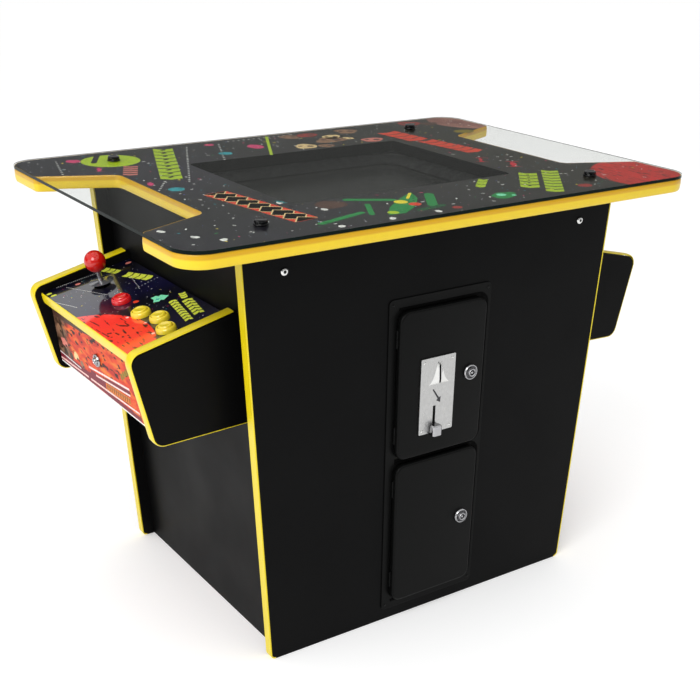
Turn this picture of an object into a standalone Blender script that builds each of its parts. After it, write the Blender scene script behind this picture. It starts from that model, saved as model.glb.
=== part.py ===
"""Cocktail-table arcade cabinet for two seated players, one named solid for each separate piece.

Frame: origin on the floor under the middle of the cabinet, +Z up, X along the table's length.
The players sit at the -X and +X ends. The coin doors are on the -Y face.
"""

import math

import bmesh
import bpy
from mathutils import Matrix, Vector

GAP = 0.0003                  # running gap left between touching pieces

# Table
TOP_OF_GLASS = 0.737
GLASS_T = 0.005
TABLE_T = 0.020
TABLE_HALF = (0.479, 0.339)
TABLE_R = 0.045
EDGE_T = 0.0025               # thickness of every T-moulding
BAY_DEEP_X = 0.3555           # depth line of the knee-side bays cut in the short ends
BAY_HALF_DEEP = 0.150
BAY_HALF_MOUTH = 0.205
WINDOW_HALF = (0.2165, 0.172)
CAP_AT = (0.3175, 0.2557)
TABLE_TOP_Z = TOP_OF_GLASS - GLASS_T - GAP
TABLE_BOTTOM_Z = TABLE_TOP_Z - TABLE_T

# Body
BODY_HALF_TOP = 0.362
BODY_HALF_FLOOR = 0.333
BODY_HALF_Y = 0.2712
PANEL_T = 0.018
PANEL_FOOT_R = 0.009
END_T = 0.015
END_INSET = 0.025
SPLAY = (BODY_HALF_TOP - BODY_HALF_FLOOR) / TABLE_BOTTOM_Z
BODY_TOP_Z = TABLE_BOTTOM_Z - GAP
END_FLOOR_X = BODY_HALF_FLOOR - END_INSET
INNER_Y = BODY_HALF_Y - PANEL_T - GAP
BASE_Z = 0.016

# Coin doors
FRAME_HALF_X = 0.103
FRAME_Z = (0.022, 0.596)
FRAME_T = 0.002
FRAME_FRONT_Y = -BODY_HALF_Y - GAP - FRAME_T
DOOR_HALF_X = 0.088
DOOR_DEPTH = 0.0117
DOOR_SHEET = 0.0016
DOOR_R = 0.019
UPPER_DOOR_Z = (0.320, 0.577)
LOWER_DOOR_Z = (0.040, 0.310)
DOOR_RIM = 0.010              # how far the frame plate reaches behind each door's edge
HINGE_STANDOFF = 0.0027       # hinge line in front of the frame plate
DOOR_FRONT_Y = FRAME_FRONT_Y - GAP - DOOR_DEPTH
COIN_LOCK_X = 0.0585
COIN_LOCK_Z = (0.452, 0.178)
PLATE_X = (-0.0465, 0.0240)
PLATE_Z = (0.360, 0.493)
PLATE_T = 0.0025

# Control boxes, described on the -X side and turned half round for the +X side
BOX_HALF_Y = 0.2055
CHEEK_T = 0.020
CHEEK_TOP_AT_BODY = 0.6034
CHEEK_TILT = math.radians(13.0)
CHEEK_FOOT_Z = 0.411
CHEEK_REAR_Z = 0.417
CHEEK_NOSE_X = 0.3958         # front edge line extended down to the floor
CHEEK_LEAN = 0.215
CHEEK_R = 0.020
DECK_TILT = math.radians(12.0)
DECK_T = 0.019
DECK_HINGE_X = 0.3354
DECK_HINGE_Z = 0.5873
DECK_LENGTH = 0.1688
DECK_HALF_Y = BOX_HALF_Y - CHEEK_T - 3 * GAP
COVER_T = 0.003
COVER_BOTTOM_Z = 0.429
COVER_FOOT_X = 0.4785
COVER_TOP_Z = 0.5330
COVER_LEAN = 0.068
BOX_LOCK_Z = 0.4885

# Controls, in the deck's own axes: u toward the player, v to the player's right, w off the deck
STICK_UV = (0.082, -0.118)
STICK_PIVOT_W = -0.030
STICK_HOLE_R = 0.014
BALL_R = 0.018
BALL_W = 0.042
BUTTONS = {"red": (0.089, -0.024), "yellow_1": (0.090, 0.053),
           "yellow_2": (0.078, 0.096), "yellow_3": (0.089, 0.141)}
BUTTON_HOLE_R = 0.0141
ROUND = 20                    # sides of small turned pieces

PARTS = "arcade_cabinet"
CUTTERS = "cutters"

COLOURS = {
    "black_board": ((0.012, 0.012, 0.013), 0.45, 0.0),
    "dark_print": ((0.02, 0.02, 0.05), 0.2, 0.0),
    "yellow_edge": ((0.80, 0.62, 0.03), 0.4, 0.0),
    "tempered_glass": ((0.20, 0.26, 0.24), 0.05, 0.0),
    "black_plastic": ((0.015, 0.015, 0.016), 0.25, 0.0),
    "black_steel": ((0.014, 0.015, 0.014), 0.4, 0.3),
    "bright_steel": ((0.62, 0.61, 0.58), 0.25, 1.0),
    "orange_print": ((0.70, 0.16, 0.03), 0.25, 0.0),
    "red_plastic": ((0.60, 0.015, 0.02), 0.15, 0.0),
    "yellow_plastic": ((0.75, 0.52, 0.02), 0.2, 0.0),
}


# ---------------------------------------------------------------- outlines

def fillet(corners, closed=True, steps=4):
    """Turn (u, v, radius) corners into outline points, with an arc at each rounded corner."""
    points = []
    count = len(corners)
    for i, (u, v, radius) in enumerate(corners):
        here = Vector((u, v))
        end = not closed and i in (0, count - 1)
        if radius <= 0 or end:
            points.append(here)
            continue
        back = (Vector(corners[i - 1][:2]) - here).normalized()
        ahead = (Vector(corners[(i + 1) % count][:2]) - here).normalized()
        half = back.angle(ahead) / 2
        centre = here + (back + ahead).normalized() * radius / math.sin(half)
        start = here + back * radius / math.tan(half) - centre
        turn = start.angle_signed(here + ahead * radius / math.tan(half) - centre)
        for step in range(steps + 1):
            points.append(centre + Matrix.Rotation(-turn * step / steps, 2) @ start)
    return points


def inset(corners, amounts):
    """Move each edge of a counter-clockwise outline inward; amounts[i] is for edge i to i + 1."""
    count = len(corners)
    moved = []
    for i, (u, v, radius) in enumerate(corners):
        here = Vector((u, v))
        before = (here - Vector(corners[i - 1][:2])).normalized()
        after = (Vector(corners[(i + 1) % count][:2]) - here).normalized()
        normals = Matrix(((-before.y, before.x), (-after.y, after.x)))
        shift = normals.inverted() @ Vector((amounts[i - 1], amounts[i]))
        convex = before.cross(after) > 0
        change = -amounts[i] if convex else amounts[i]
        moved.append((u + shift.x, v + shift.y, max(radius + change, 0.0)))
    return moved


def rectangle(u0, u1, v0, v1, radius=0.0):
    return [(u0, v0, radius), (u1, v0, radius), (u1, v1, radius), (u0, v1, radius)]


def circle(u, v, radius, sides=24):
    turns = [2 * math.pi * k / sides for k in range(sides)]
    return [Vector((u + radius * math.cos(a), v + radius * math.sin(a))) for a in turns]


# ---------------------------------------------------------------- solids

def material(slot):
    found = bpy.data.materials.get(slot)
    if found:
        return found
    colour, roughness, metallic = COLOURS[slot]
    made = bpy.data.materials.new(slot)
    made.use_nodes = True
    shader = made.node_tree.nodes["Principled BSDF"]
    shader.inputs["Base Color"].default_value = (*colour, 1.0)
    shader.inputs["Roughness"].default_value = roughness
    shader.inputs["Metallic"].default_value = metallic
    made.diffuse_color = (*colour, 1.0)
    return made


def add(name, mesh, slot=None, place=Matrix.Identity(4)):
    """Link a mesh as a part, or as a hidden cutter when it has no material slot."""
    part = bpy.data.objects.new(name, mesh)
    part.matrix_world = place
    if slot:
        mesh.materials.append(material(slot))
        bpy.data.collections[PARTS].objects.link(part)
    else:
        part.hide_render = True
        part.display_type = "WIRE"
        bpy.data.collections[CUTTERS].objects.link(part)
    return part


def slab_mesh(name, outlines, low, high, plane="XY"):
    """Extrude an outline, with any holes, from low to high across its plane."""
    curve = bpy.data.curves.new(name, "CURVE")
    curve.dimensions = "2D"
    curve.fill_mode = "BOTH"
    curve.extrude = (high - low) / 2
    for outline in outlines:
        spline = curve.splines.new("POLY")
        spline.points.add(len(outline) - 1)
        for point, spot in zip(spline.points, outline):
            point.co = (spot[0], spot[1], 0.0, 1.0)
        spline.use_cyclic_u = True
    holder = bpy.data.objects.new(name, curve)
    bpy.context.scene.collection.objects.link(holder)
    bpy.context.view_layer.update()
    graph = bpy.context.evaluated_depsgraph_get()
    mesh = bpy.data.meshes.new_from_object(holder.evaluated_get(graph))
    bpy.data.objects.remove(holder)
    mesh.transform(Matrix.Translation((0, 0, (low + high) / 2)))
    if plane == "XZ":
        mesh.transform(Matrix(((1, 0, 0, 0), (0, 0, 1, 0), (0, 1, 0, 0), (0, 0, 0, 1))))
    shape = bmesh.new()
    shape.from_mesh(mesh)
    bmesh.ops.remove_doubles(shape, verts=shape.verts, dist=1e-6)
    bmesh.ops.recalc_face_normals(shape, faces=shape.faces)
    shape.to_mesh(mesh)
    shape.free()
    mesh.name = name
    return mesh


def slab(name, slot, outlines, low, high, plane="XY", place=Matrix.Identity(4)):
    return add(name, slab_mesh(name, outlines, low, high, plane), slot, place)


def turned(name, slot, profile, place=Matrix.Identity(4), sides=ROUND, ring=False):
    """Spin an (r, z) profile, listed from the top down its outer side, about local Z."""
    mesh = bpy.data.meshes.new(name)
    spots = [(radius, 0.0, height) for radius, height in profile]
    edges = [(k, k + 1) for k in range(len(spots) - 1)]
    if ring:
        edges.append((len(spots) - 1, 0))
    mesh.from_pydata(spots, edges, [])
    part = add(name, mesh, slot, place)
    screw = part.modifiers.new("turn", "SCREW")
    screw.axis = "Z"
    screw.steps = sides
    screw.render_steps = sides
    screw.use_merge_vertices = True
    screw.merge_threshold = 0.00001
    screw.use_smooth_shade = True
    return part


def combine(part, tool, operation):
    step = part.modifiers.new(operation.lower(), "BOOLEAN")
    step.operation = operation
    step.object = tool


def cut(part, tool):
    combine(part, tool, "DIFFERENCE")


def join(part, tool):
    combine(part, tool, "UNION")


def round_front(mesh, depth_axis, level, width, segments=2):
    """Bevel the edges that lie on one face of a slab."""
    shape = bmesh.new()
    shape.from_mesh(mesh)
    bmesh.ops.dissolve_limit(shape, angle_limit=0.001, verts=shape.verts, edges=shape.edges)
    rim = [edge for edge in shape.edges
           if all(abs(vert.co[depth_axis] - level) < 1e-6 for vert in edge.verts)
           and edge.calc_face_angle(0.0) > 0.5]
    bmesh.ops.bevel(shape, geom=rim, offset=width, segments=segments, profile=0.5,
                    affect="EDGES", clamp_overlap=True)
    shape.to_mesh(mesh)
    shape.free()


def axes(origin, x_axis, z_axis):
    """Placement whose local X and Z point along two given directions."""
    across = Vector(x_axis).normalized()
    out = Vector(z_axis).normalized()
    side = out.cross(across)
    turn = Matrix((across, side, out)).transposed().to_4x4()
    return Matrix.Translation(origin) @ turn


def hang(name, place, children):
    """Put an empty on a joint's axis and carry the moving pieces on it."""
    pivot = bpy.data.objects.new(name, None)
    pivot.empty_display_size = 0.03
    pivot.matrix_world = place
    bpy.data.collections[PARTS].objects.link(pivot)
    for child in children:
        world = child.matrix_world.copy()
        child.parent = pivot
        child.matrix_parent_inverse = place.inverted()
        child.matrix_world = world
    return pivot


# ---------------------------------------------------------------- table

def table_corners():
    """Counter-clockwise tabletop outline with a tapered bay in each short end."""
    half_x, half_y = TABLE_HALF
    left = [(-half_x, half_y, TABLE_R), (-half_x, BAY_HALF_MOUTH, 0.012),
            (-BAY_DEEP_X, BAY_HALF_DEEP, 0.018), (-BAY_DEEP_X, -BAY_HALF_DEEP, 0.018),
            (-half_x, -BAY_HALF_MOUTH, 0.012), (-half_x, -half_y, TABLE_R)]
    right = [(-x, -y, radius) for x, y, radius in left]
    return left + right


def make_table():
    outer = table_corners()
    edge = [EDGE_T] * len(outer)
    board = [EDGE_T + GAP] * len(outer)
    window = rectangle(-WINDOW_HALF[0], WINDOW_HALF[0], -WINDOW_HALF[1], WINDOW_HALF[1], 0.010)
    slab("tabletop", "dark_print", [fillet(inset(outer, board)), fillet(window)],
         TABLE_BOTTOM_Z, TABLE_TOP_Z)
    slab("tabletop_molding", "yellow_edge", [fillet(outer), fillet(inset(outer, edge))],
         TABLE_BOTTOM_Z, TABLE_TOP_Z)
    make_glass()
    make_monitor()


def make_glass():
    half_x, half_y = TABLE_HALF
    outline = rectangle(-half_x, half_x, -half_y, half_y, TABLE_R)
    spots = {"front_left": (-1, -1), "front_right": (1, -1), "back_left": (-1, 1), "back_right": (1, 1)}
    holes = [circle(CAP_AT[0] * sx, CAP_AT[1] * sy, 0.0050, 16) for sx, sy in spots.values()]
    slab("glass_top", "tempered_glass", [fillet(outline, steps=6), *holes],
         TOP_OF_GLASS - GLASS_T, TOP_OF_GLASS)
    profile = [(0, 0.0072), (0.0070, 0.0069), (0.0100, 0.0054), (0.0110, 0.0030), (0.0110, GAP),
               (0.0047, GAP), (0.0047, -GLASS_T + GAP), (0, -GLASS_T + GAP)]
    for name, (sx, sy) in spots.items():
        place = Matrix.Translation((CAP_AT[0] * sx, CAP_AT[1] * sy, TOP_OF_GLASS))
        turned("glass_cap_" + name, "black_plastic", profile, place)


def make_monitor():
    """Flat monitor hung under the window, its picture area sunk below a bezel."""
    top = TABLE_BOTTOM_Z - GAP
    body = slab("monitor", "black_plastic", [fillet(rectangle(-0.222, 0.222, -0.195, 0.195, 0.006))],
                top - 0.052, top)
    pocket = slab_mesh("picture_area", [fillet(rectangle(-0.213, 0.213, -0.167, 0.167, 0.045))],
                       top - 0.014, top + 0.010)
    cut(body, add("picture_area", pocket))


# ---------------------------------------------------------------- body

def side_outline():
    """Half outline (x >= 0) of the splayed side panel, clear of its edge strip."""
    clear = EDGE_T + GAP
    foot_x = BODY_HALF_FLOOR - PANEL_FOOT_R - 0.0005
    return [(foot_x - GAP, 0.0, 0.0), (foot_x - GAP, clear, 0.0),
            (BODY_HALF_FLOOR - clear + SPLAY * clear, clear, PANEL_FOOT_R - clear),
            (BODY_HALF_FLOOR + SPLAY * BODY_TOP_Z - clear, BODY_TOP_Z, 0.0)]


def side_strip_outline():
    """Edge strip that runs down the splayed edge and round the foot of a side panel."""
    foot_x = BODY_HALF_FLOOR - PANEL_FOOT_R - 0.0005
    top_x = BODY_HALF_FLOOR + SPLAY * BODY_TOP_Z
    outside = [(foot_x, 0.0, 0.0), (BODY_HALF_FLOOR, 0.0, PANEL_FOOT_R), (top_x, BODY_TOP_Z, 0.0)]
    inside = [(foot_x, EDGE_T, 0.0),
              (BODY_HALF_FLOOR - EDGE_T + SPLAY * EDGE_T, EDGE_T, PANEL_FOOT_R - EDGE_T),
              (top_x - EDGE_T, BODY_TOP_Z, 0.0)]
    return fillet(outside, closed=False) + fillet(inside, closed=False)[::-1]


def make_side_panels():
    right = fillet(side_outline(), closed=False)
    outline = right + [Vector((-spot.x, spot.y)) for spot in reversed(right)]
    doorway = rectangle(-0.090, 0.090, FRAME_Z[0] + 0.014, FRAME_Z[1] - 0.014, 0.012)
    inlet_hole = rectangle(0.200 - 0.0225, 0.200 + 0.0225, 0.100 - 0.0265, 0.100 + 0.0265, 0.003)
    sides = {"front": (-1, doorway), "back": (1, inlet_hole)}
    strip = side_strip_outline()
    for name, (facing, hole) in sides.items():
        low, high = sorted((facing * BODY_HALF_Y, facing * (BODY_HALF_Y - PANEL_T)))
        slab("side_panel_" + name, "black_board", [outline, fillet(hole)], low, high, "XZ")
        for hand, sign in (("left", -1), ("right", 1)):
            edge = [(sign * spot.x, spot.y) for spot in strip]
            slab(f"side_molding_{name}_{hand}", "yellow_edge", [edge], low, high, "XZ")


def make_end_and_base_panels():
    for name, sign in (("left", -1), ("right", 1)):
        face_top = END_FLOOR_X + SPLAY * BODY_TOP_Z
        corners = [(sign * END_FLOOR_X, 0), (sign * face_top, BODY_TOP_Z),
                   (sign * (face_top - END_T), BODY_TOP_Z), (sign * (END_FLOOR_X - END_T), 0)]
        slab("end_panel_" + name, "black_board", [corners], -INNER_Y, INNER_Y, "XZ")
    half_x = END_FLOOR_X - END_T - 2 * GAP
    corners = rectangle(-half_x, half_x, -INNER_Y, INNER_Y)
    slab("base_panel", "black_board", [fillet(corners)], BASE_Z, BASE_Z + END_T)


# ---------------------------------------------------------------- coin doors

def make_coin_frame():
    plate = fillet(rectangle(-FRAME_HALF_X, FRAME_HALF_X, *FRAME_Z, 0.008))
    reach = DOOR_HALF_X - DOOR_RIM
    holes = [fillet(rectangle(-reach, reach, low + DOOR_RIM, high - DOOR_RIM, 0.012))
             for low, high in (UPPER_DOOR_Z, LOWER_DOOR_Z)]
    slab("coin_door_frame", "black_steel", [plate, *holes], FRAME_FRONT_Y, FRAME_FRONT_Y + FRAME_T, "XZ")


def make_door(name, span):
    """Pressed steel door: a shallow pan, open at the back, on a hinge line at its left edge."""
    width = 2 * DOOR_HALF_X
    height = span[1] - span[0]
    back_y = HINGE_STANDOFF - GAP
    front_y = back_y - DOOR_DEPTH
    mesh = slab_mesh(name, [fillet(rectangle(0, width, 0, height, DOOR_R))], front_y, back_y, "XZ")
    round_front(mesh, 1, front_y, 0.004)
    hinge = Matrix.Translation((-DOOR_HALF_X, FRAME_FRONT_Y - HINGE_STANDOFF, span[0]))
    door = add(name, mesh, "black_steel", hinge)
    hollow = rectangle(DOOR_SHEET, width - DOOR_SHEET, DOOR_SHEET, height - DOOR_SHEET, DOOR_R - DOOR_SHEET)
    space = slab_mesh(name + "_hollow", [fillet(hollow)], front_y + DOOR_SHEET, back_y + 0.01, "XZ")
    round_front(space, 1, front_y + DOOR_SHEET, 0.004 - DOOR_SHEET / 2)
    cut(door, add(name + "_hollow", space, place=hinge))
    return door, hinge


def make_lock(name, place, reach, cam_length, head_r):
    """Tubular cam lock turning about local Z, its cam resting clear along local X."""
    profile = [(0, 0.0030), (head_r * 0.45, 0.0030), (head_r * 0.50, 0.0046), (head_r * 0.82, 0.0046),
               (head_r, 0.0024), (head_r, GAP), (0.0095, GAP), (0.0095, -reach), (0, -reach)]
    lock = turned(name, "bright_steel", profile, place)
    bar = rectangle(-0.0060, cam_length, -0.0055, 0.0055, 0.0030)
    tongue = slab_mesh(name + "_cam", [fillet(bar, steps=2)], -reach - 0.0005, -reach + 0.0015)
    join(lock, add(name + "_cam", tongue, place=place))
    return lock


def lock_bore(name, place, deep):
    return turned(name, None, [(0, 0.02), (0.0099, 0.02), (0.0099, -deep), (0, -deep)], place)


def make_coin_acceptor():
    """Face plate with its coin entry, in one piece with the mechanism box behind the door."""
    left, right = PLATE_X
    bottom, top = PLATE_Z
    middle = (left + right) / 2
    face_y = DOOR_FRONT_Y - GAP - PLATE_T
    acceptor = slab("coin_acceptor", "bright_steel", [fillet(rectangle(left, right, bottom, top, 0.002))],
                    face_y, face_y + PLATE_T, "XZ")
    box = rectangle(left + 0.006, right - 0.006, bottom + 0.005, top - 0.006)
    join(acceptor, add("acceptor_box", slab_mesh("acceptor_box", [fillet(box)],
                                                 face_y + 0.001, DOOR_FRONT_Y + 0.058, "XZ")))
    entry = [(middle - 0.014, top - 0.046), (middle + 0.018, top - 0.046), (middle + 0.0025, top - 0.011)]
    cut(acceptor, add("entry_funnel", slab_mesh("entry_funnel", [entry], face_y - 0.01, face_y + 0.004, "XZ")))
    slot = rectangle(middle + 0.001, middle + 0.004, top - 0.044, top - 0.014)
    cut(acceptor, add("coin_slot", slab_mesh("coin_slot", [fillet(slot)], face_y - 0.01, face_y + 0.030, "XZ")))
    track = rectangle(middle - 0.0075, middle - 0.0020, bottom + 0.0065, bottom + 0.048)
    cut(acceptor, add("lever_slot", slab_mesh("lever_slot", [fillet(track)], face_y - 0.01, face_y + 0.030, "XZ")))
    return acceptor


def make_return_lever():
    """Coin-return lever: a thin arm in the plate's slot with a wide finger cup outside."""
    centre_x = (PLATE_X[0] + PLATE_X[1]) / 2 - 0.00475
    base_z = PLATE_Z[0]
    face_y = DOOR_FRONT_Y - GAP - PLATE_T
    place = Matrix.Translation((centre_x, face_y, base_z))
    cup = rectangle(-0.0095, 0.0095, -0.014, -0.0006, 0.0045)
    mesh = slab_mesh("coin_return_lever", [fillet(cup)], -0.002, 0.016)
    round_front(mesh, 2, 0.016, 0.002, 1)
    lever = add("coin_return_lever", mesh, "bright_steel", place)
    arm = rectangle(-0.0020, 0.0020, -0.006, 0.022)
    join(lever, add("lever_arm", slab_mesh("lever_arm", [fillet(arm)], 0.0135, 0.0155), place=place))
    return lever


def make_coin_doors():
    make_coin_frame()
    upper, upper_hinge = make_door("coin_door_upper", UPPER_DOOR_Z)
    lower, lower_hinge = make_door("coin_door_lower", LOWER_DOOR_Z)
    carried = {"upper": (upper, upper_hinge), "lower": (lower, lower_hinge)}
    for (name, (door, hinge)), lock_z in zip(carried.items(), COIN_LOCK_Z):
        spot = axes((COIN_LOCK_X, DOOR_FRONT_Y, lock_z), (0, 0, -1), (0, -1, 0))
        cut(door, lock_bore(f"coin_lock_{name}_bore", spot, 0.01))
        lock = make_lock(f"coin_lock_{name}", spot, DOOR_DEPTH + FRAME_T + 2 * GAP + 0.004, 0.029, 0.014)
        moving = [door, lock]
        if name == "upper":
            window = rectangle(PLATE_X[0] + 0.0055, PLATE_X[1] - 0.0055, PLATE_Z[0] + 0.0045, PLATE_Z[1] - 0.0055)
            opening = slab_mesh("acceptor_window", [fillet(window)], DOOR_FRONT_Y - 0.01, DOOR_FRONT_Y + 0.05, "XZ")
            cut(door, add("acceptor_window", opening))
            moving += [make_coin_acceptor(), make_return_lever()]
        hang(f"coin_door_{name}_hinge", hinge, moving)


# ---------------------------------------------------------------- control boxes

def cheek_corners():
    """Clockwise seen from -Y, so counter-clockwise in (x, z): nose, foot, rear of a box side."""
    rise = math.tan(CHEEK_TILT)
    rear = lambda z: -(END_FLOOR_X + SPLAY * z) - GAP
    top_rear = CHEEK_TOP_AT_BODY
    nose_z = (top_rear - rise * (CHEEK_NOSE_X + rear(top_rear))) / (1 + rise * CHEEK_LEAN)
    nose_x = -(CHEEK_NOSE_X + CHEEK_LEAN * nose_z)
    foot_x = -(CHEEK_NOSE_X + CHEEK_LEAN * CHEEK_FOOT_Z)
    return [(nose_x, nose_z, CHEEK_R), (foot_x, CHEEK_FOOT_Z, CHEEK_R),
            (rear(CHEEK_REAR_Z), CHEEK_REAR_Z, 0.0), (rear(top_rear), top_rear, 0.008)]


def make_cheeks(side, turn):
    clear = EDGE_T + GAP
    outline = fillet(inset(cheek_corners(), [clear, clear, 0.0, clear]))
    for name, low in (("front", -BOX_HALF_Y), ("back", BOX_HALF_Y - CHEEK_T)):
        label = name if side == "left" else {"front": "back", "back": "front"}[name]
        slab(f"box_cheek_{side}_{label}", "black_board", [outline], low, low + CHEEK_T, "XZ", turn)


def make_cover(side, turn):
    """Folded sheet that closes the player's side and the underside of a control box."""
    lean = COVER_LEAN * (COVER_TOP_Z - COVER_BOTTOM_Z)
    rear = -(END_FLOOR_X + SPLAY * COVER_BOTTOM_Z) - 3 * GAP
    outline = [(-COVER_FOOT_X - lean, COVER_TOP_Z, 0.0), (-COVER_FOOT_X, COVER_BOTTOM_Z, 0.005),
               (rear, COVER_BOTTOM_Z, 0.0), (rear, COVER_BOTTOM_Z + COVER_T, 0.0),
               (-COVER_FOOT_X + COVER_T, COVER_BOTTOM_Z + COVER_T, 0.002),
               (-COVER_FOOT_X - lean + COVER_T, COVER_TOP_Z, 0.0)]
    half = DECK_HALF_Y
    cover = slab(f"box_cover_{side}", "orange_print", [fillet(outline, steps=3)], -half, half, "XZ", turn)
    out = Vector((-1, 0, -COVER_LEAN)).normalized()
    face_x = -COVER_FOOT_X - COVER_LEAN * (BOX_LOCK_Z - COVER_BOTTOM_Z)
    spot = turn @ axes((face_x, 0, BOX_LOCK_Z), (0, -1, 0), out)
    cut(cover, lock_bore(f"box_lock_{side}_bore", spot, 0.02))
    make_lock(f"box_lock_{side}", spot, 0.018, 0.026, 0.011)


def deck_axes(turn):
    """Deck frame on its hinge line: local X toward the player, local Z off the deck."""
    out = (-math.cos(DECK_TILT), 0, -math.sin(DECK_TILT))
    up = (-math.sin(DECK_TILT), 0, math.cos(DECK_TILT))
    return turn @ axes((-DECK_HINGE_X, 0, DECK_HINGE_Z), out, up)


def make_deck(side, deck):
    board = fillet(rectangle(0, DECK_LENGTH - EDGE_T - GAP, -DECK_HALF_Y, DECK_HALF_Y))
    holes = [circle(*STICK_UV, STICK_HOLE_R)]
    holes += [circle(*spot, BUTTON_HOLE_R) for spot in BUTTONS.values()]
    return slab(f"deck_{side}", "dark_print", [board, *holes], -DECK_T, 0.0, place=deck)


def make_joystick(side, deck):
    """Base under the deck, a tilting gimbal ring, and the shaft with its ball."""
    pivot = deck @ Matrix.Translation((*STICK_UV, STICK_PIVOT_W))
    top = -DECK_T - GAP - STICK_PIVOT_W
    base = slab(f"joystick_base_{side}", "black_plastic",
                [fillet(rectangle(-0.030, 0.030, -0.042, 0.042, 0.004), steps=2)], top - 0.002, top, place=pivot)
    block = slab_mesh("switch_block", [fillet(rectangle(-0.029, 0.029, -0.029, 0.029, 0.003), steps=2)],
                      top - 0.032, top - 0.001)
    join(base, add(f"switch_block_{side}", block, place=pivot))
    bore = [(0, 0.05), (0.0165, 0.05), (0.0165, -0.05), (0, -0.05)]
    cut(base, turned(f"joystick_bore_{side}", None, bore, pivot))
    ring = [(0.0056, 0.003), (0.0105, 0.003), (0.0105, -0.003), (0.0056, -0.003)]
    gimbal = turned(f"joystick_gimbal_{side}", "black_plastic", ring, pivot, ring=True)
    tip = BALL_W - STICK_PIVOT_W + 0.003
    rod = [(0, tip), (0.0045, tip), (0.0045, -0.016), (0, -0.016)]
    shaft = turned(f"joystick_shaft_{side}", "bright_steel", rod, pivot, sides=16)
    shape = bmesh.new()
    bmesh.ops.create_uvsphere(shape, u_segments=24, v_segments=14, radius=BALL_R)
    mesh = bpy.data.meshes.new(f"joystick_ball_{side}")
    shape.to_mesh(mesh)
    shape.free()
    mesh.shade_smooth()
    ball_place = pivot @ Matrix.Translation((0, 0, BALL_W - STICK_PIVOT_W))
    ball = add(mesh.name, mesh, "red_plastic", ball_place)
    socket = [(0, 0.0035), (0.0048, 0.0035), (0.0048, -0.03), (0, -0.03)]
    cut(ball, turned(f"ball_socket_{side}", None, socket, ball_place))
    hang(f"joystick_pivot_{side}", pivot, [shaft, ball])
    return base, gimbal


def make_buttons(side, deck):
    """Each push button is a fixed collar and barrel with a domed plunger sliding inside."""
    collar = [(0.0128, 0.0080), (0.0148, 0.0074), (0.0163, 0.0036), (0.0165, GAP),
              (0.0138, GAP), (0.0138, -0.030), (0.0122, -0.030), (0.0122, 0.0080)]
    dome = [(0, 0.0104), (0.0070, 0.0102), (0.0104, 0.0096), (0.0118, 0.0082), (0.0118, -0.018), (0, -0.018)]
    bodies = []
    for name, spot in BUTTONS.items():
        slot = "red_plastic" if name == "red" else "yellow_plastic"
        place = deck @ Matrix.Translation((*spot, 0))
        bodies.append(turned(f"button_body_{name}_{side}", slot, collar, place, ring=True))
        bodies.append(turned(f"button_plunger_{name}_{side}", slot, dome, place))
    return bodies


def make_control_box(side, turn):
    make_cheeks(side, turn)
    make_cover(side, turn)
    deck = deck_axes(turn)
    moving = [make_deck(side, deck), *make_joystick(side, deck), *make_buttons(side, deck)]
    moving.append(bpy.data.objects[f"joystick_pivot_{side}"])
    hang(f"deck_hinge_{side}", deck, moving)


# ---------------------------------------------------------------- power inlet

def make_power_inlet():
    """Mains inlet with a rocker switch, let into the foot of the back panel."""
    place = axes((0.200, BODY_HALF_Y, 0.100), (-1, 0, 0), (0, 1, 0))
    flange = fillet(rectangle(-0.026, 0.026, -0.031, 0.031, 0.004))
    inlet = slab("power_inlet", "black_plastic", [flange], GAP, 0.0028, place=place)
    body = slab_mesh("inlet_body", [fillet(rectangle(-0.022, 0.022, -0.026, 0.026, 0.004))], -0.024, 0.0015)
    join(inlet, add("inlet_body", body, place=place))
    socket = rectangle(-0.0125, 0.0125, -0.022, -0.0045, 0.003)
    cut(inlet, add("inlet_socket", slab_mesh("inlet_socket", [fillet(socket)], -0.017, 0.01), place=place))
    well = rectangle(-0.0105, 0.0105, 0.0035, 0.0205)
    cut(inlet, add("switch_well", slab_mesh("switch_well", [fillet(well)], -0.010, 0.01), place=place))
    swing = place @ Matrix.Translation((0, 0.012, 0)) @ Matrix.Rotation(math.radians(-8), 4, "X")
    facing = swing @ Matrix.Rotation(math.pi / 2, 4, "Z")
    profile = [(-0.0062, -0.004), (0.0062, -0.004), (0.0062, 0.0038), (0, 0.0020), (-0.0062, 0.0038)]
    slab("power_rocker", "black_plastic", [profile], -0.0098, 0.0098, "XZ", facing)


# ---------------------------------------------------------------- assembly

def start_fresh():
    for old in list(bpy.data.objects):
        bpy.data.objects.remove(old)
    for name in (PARTS, CUTTERS):
        made = bpy.data.collections.new(name)
        bpy.context.scene.collection.children.link(made)


start_fresh()
make_table()
make_side_panels()
make_end_and_base_panels()
make_coin_doors()
make_control_box("left", Matrix.Identity(4))
make_control_box("right", Matrix.Rotation(math.pi, 4, "Z"))
make_power_inlet()
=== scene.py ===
"""Looks for a cocktail-table arcade cabinet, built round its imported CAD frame.

Metres, +Z up, origin on the floor under the middle. Players sit at -X and +X; the coin doors face -Y.
"""

import math
import random

import bmesh
import bpy
from mathutils import Matrix, Vector


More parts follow.
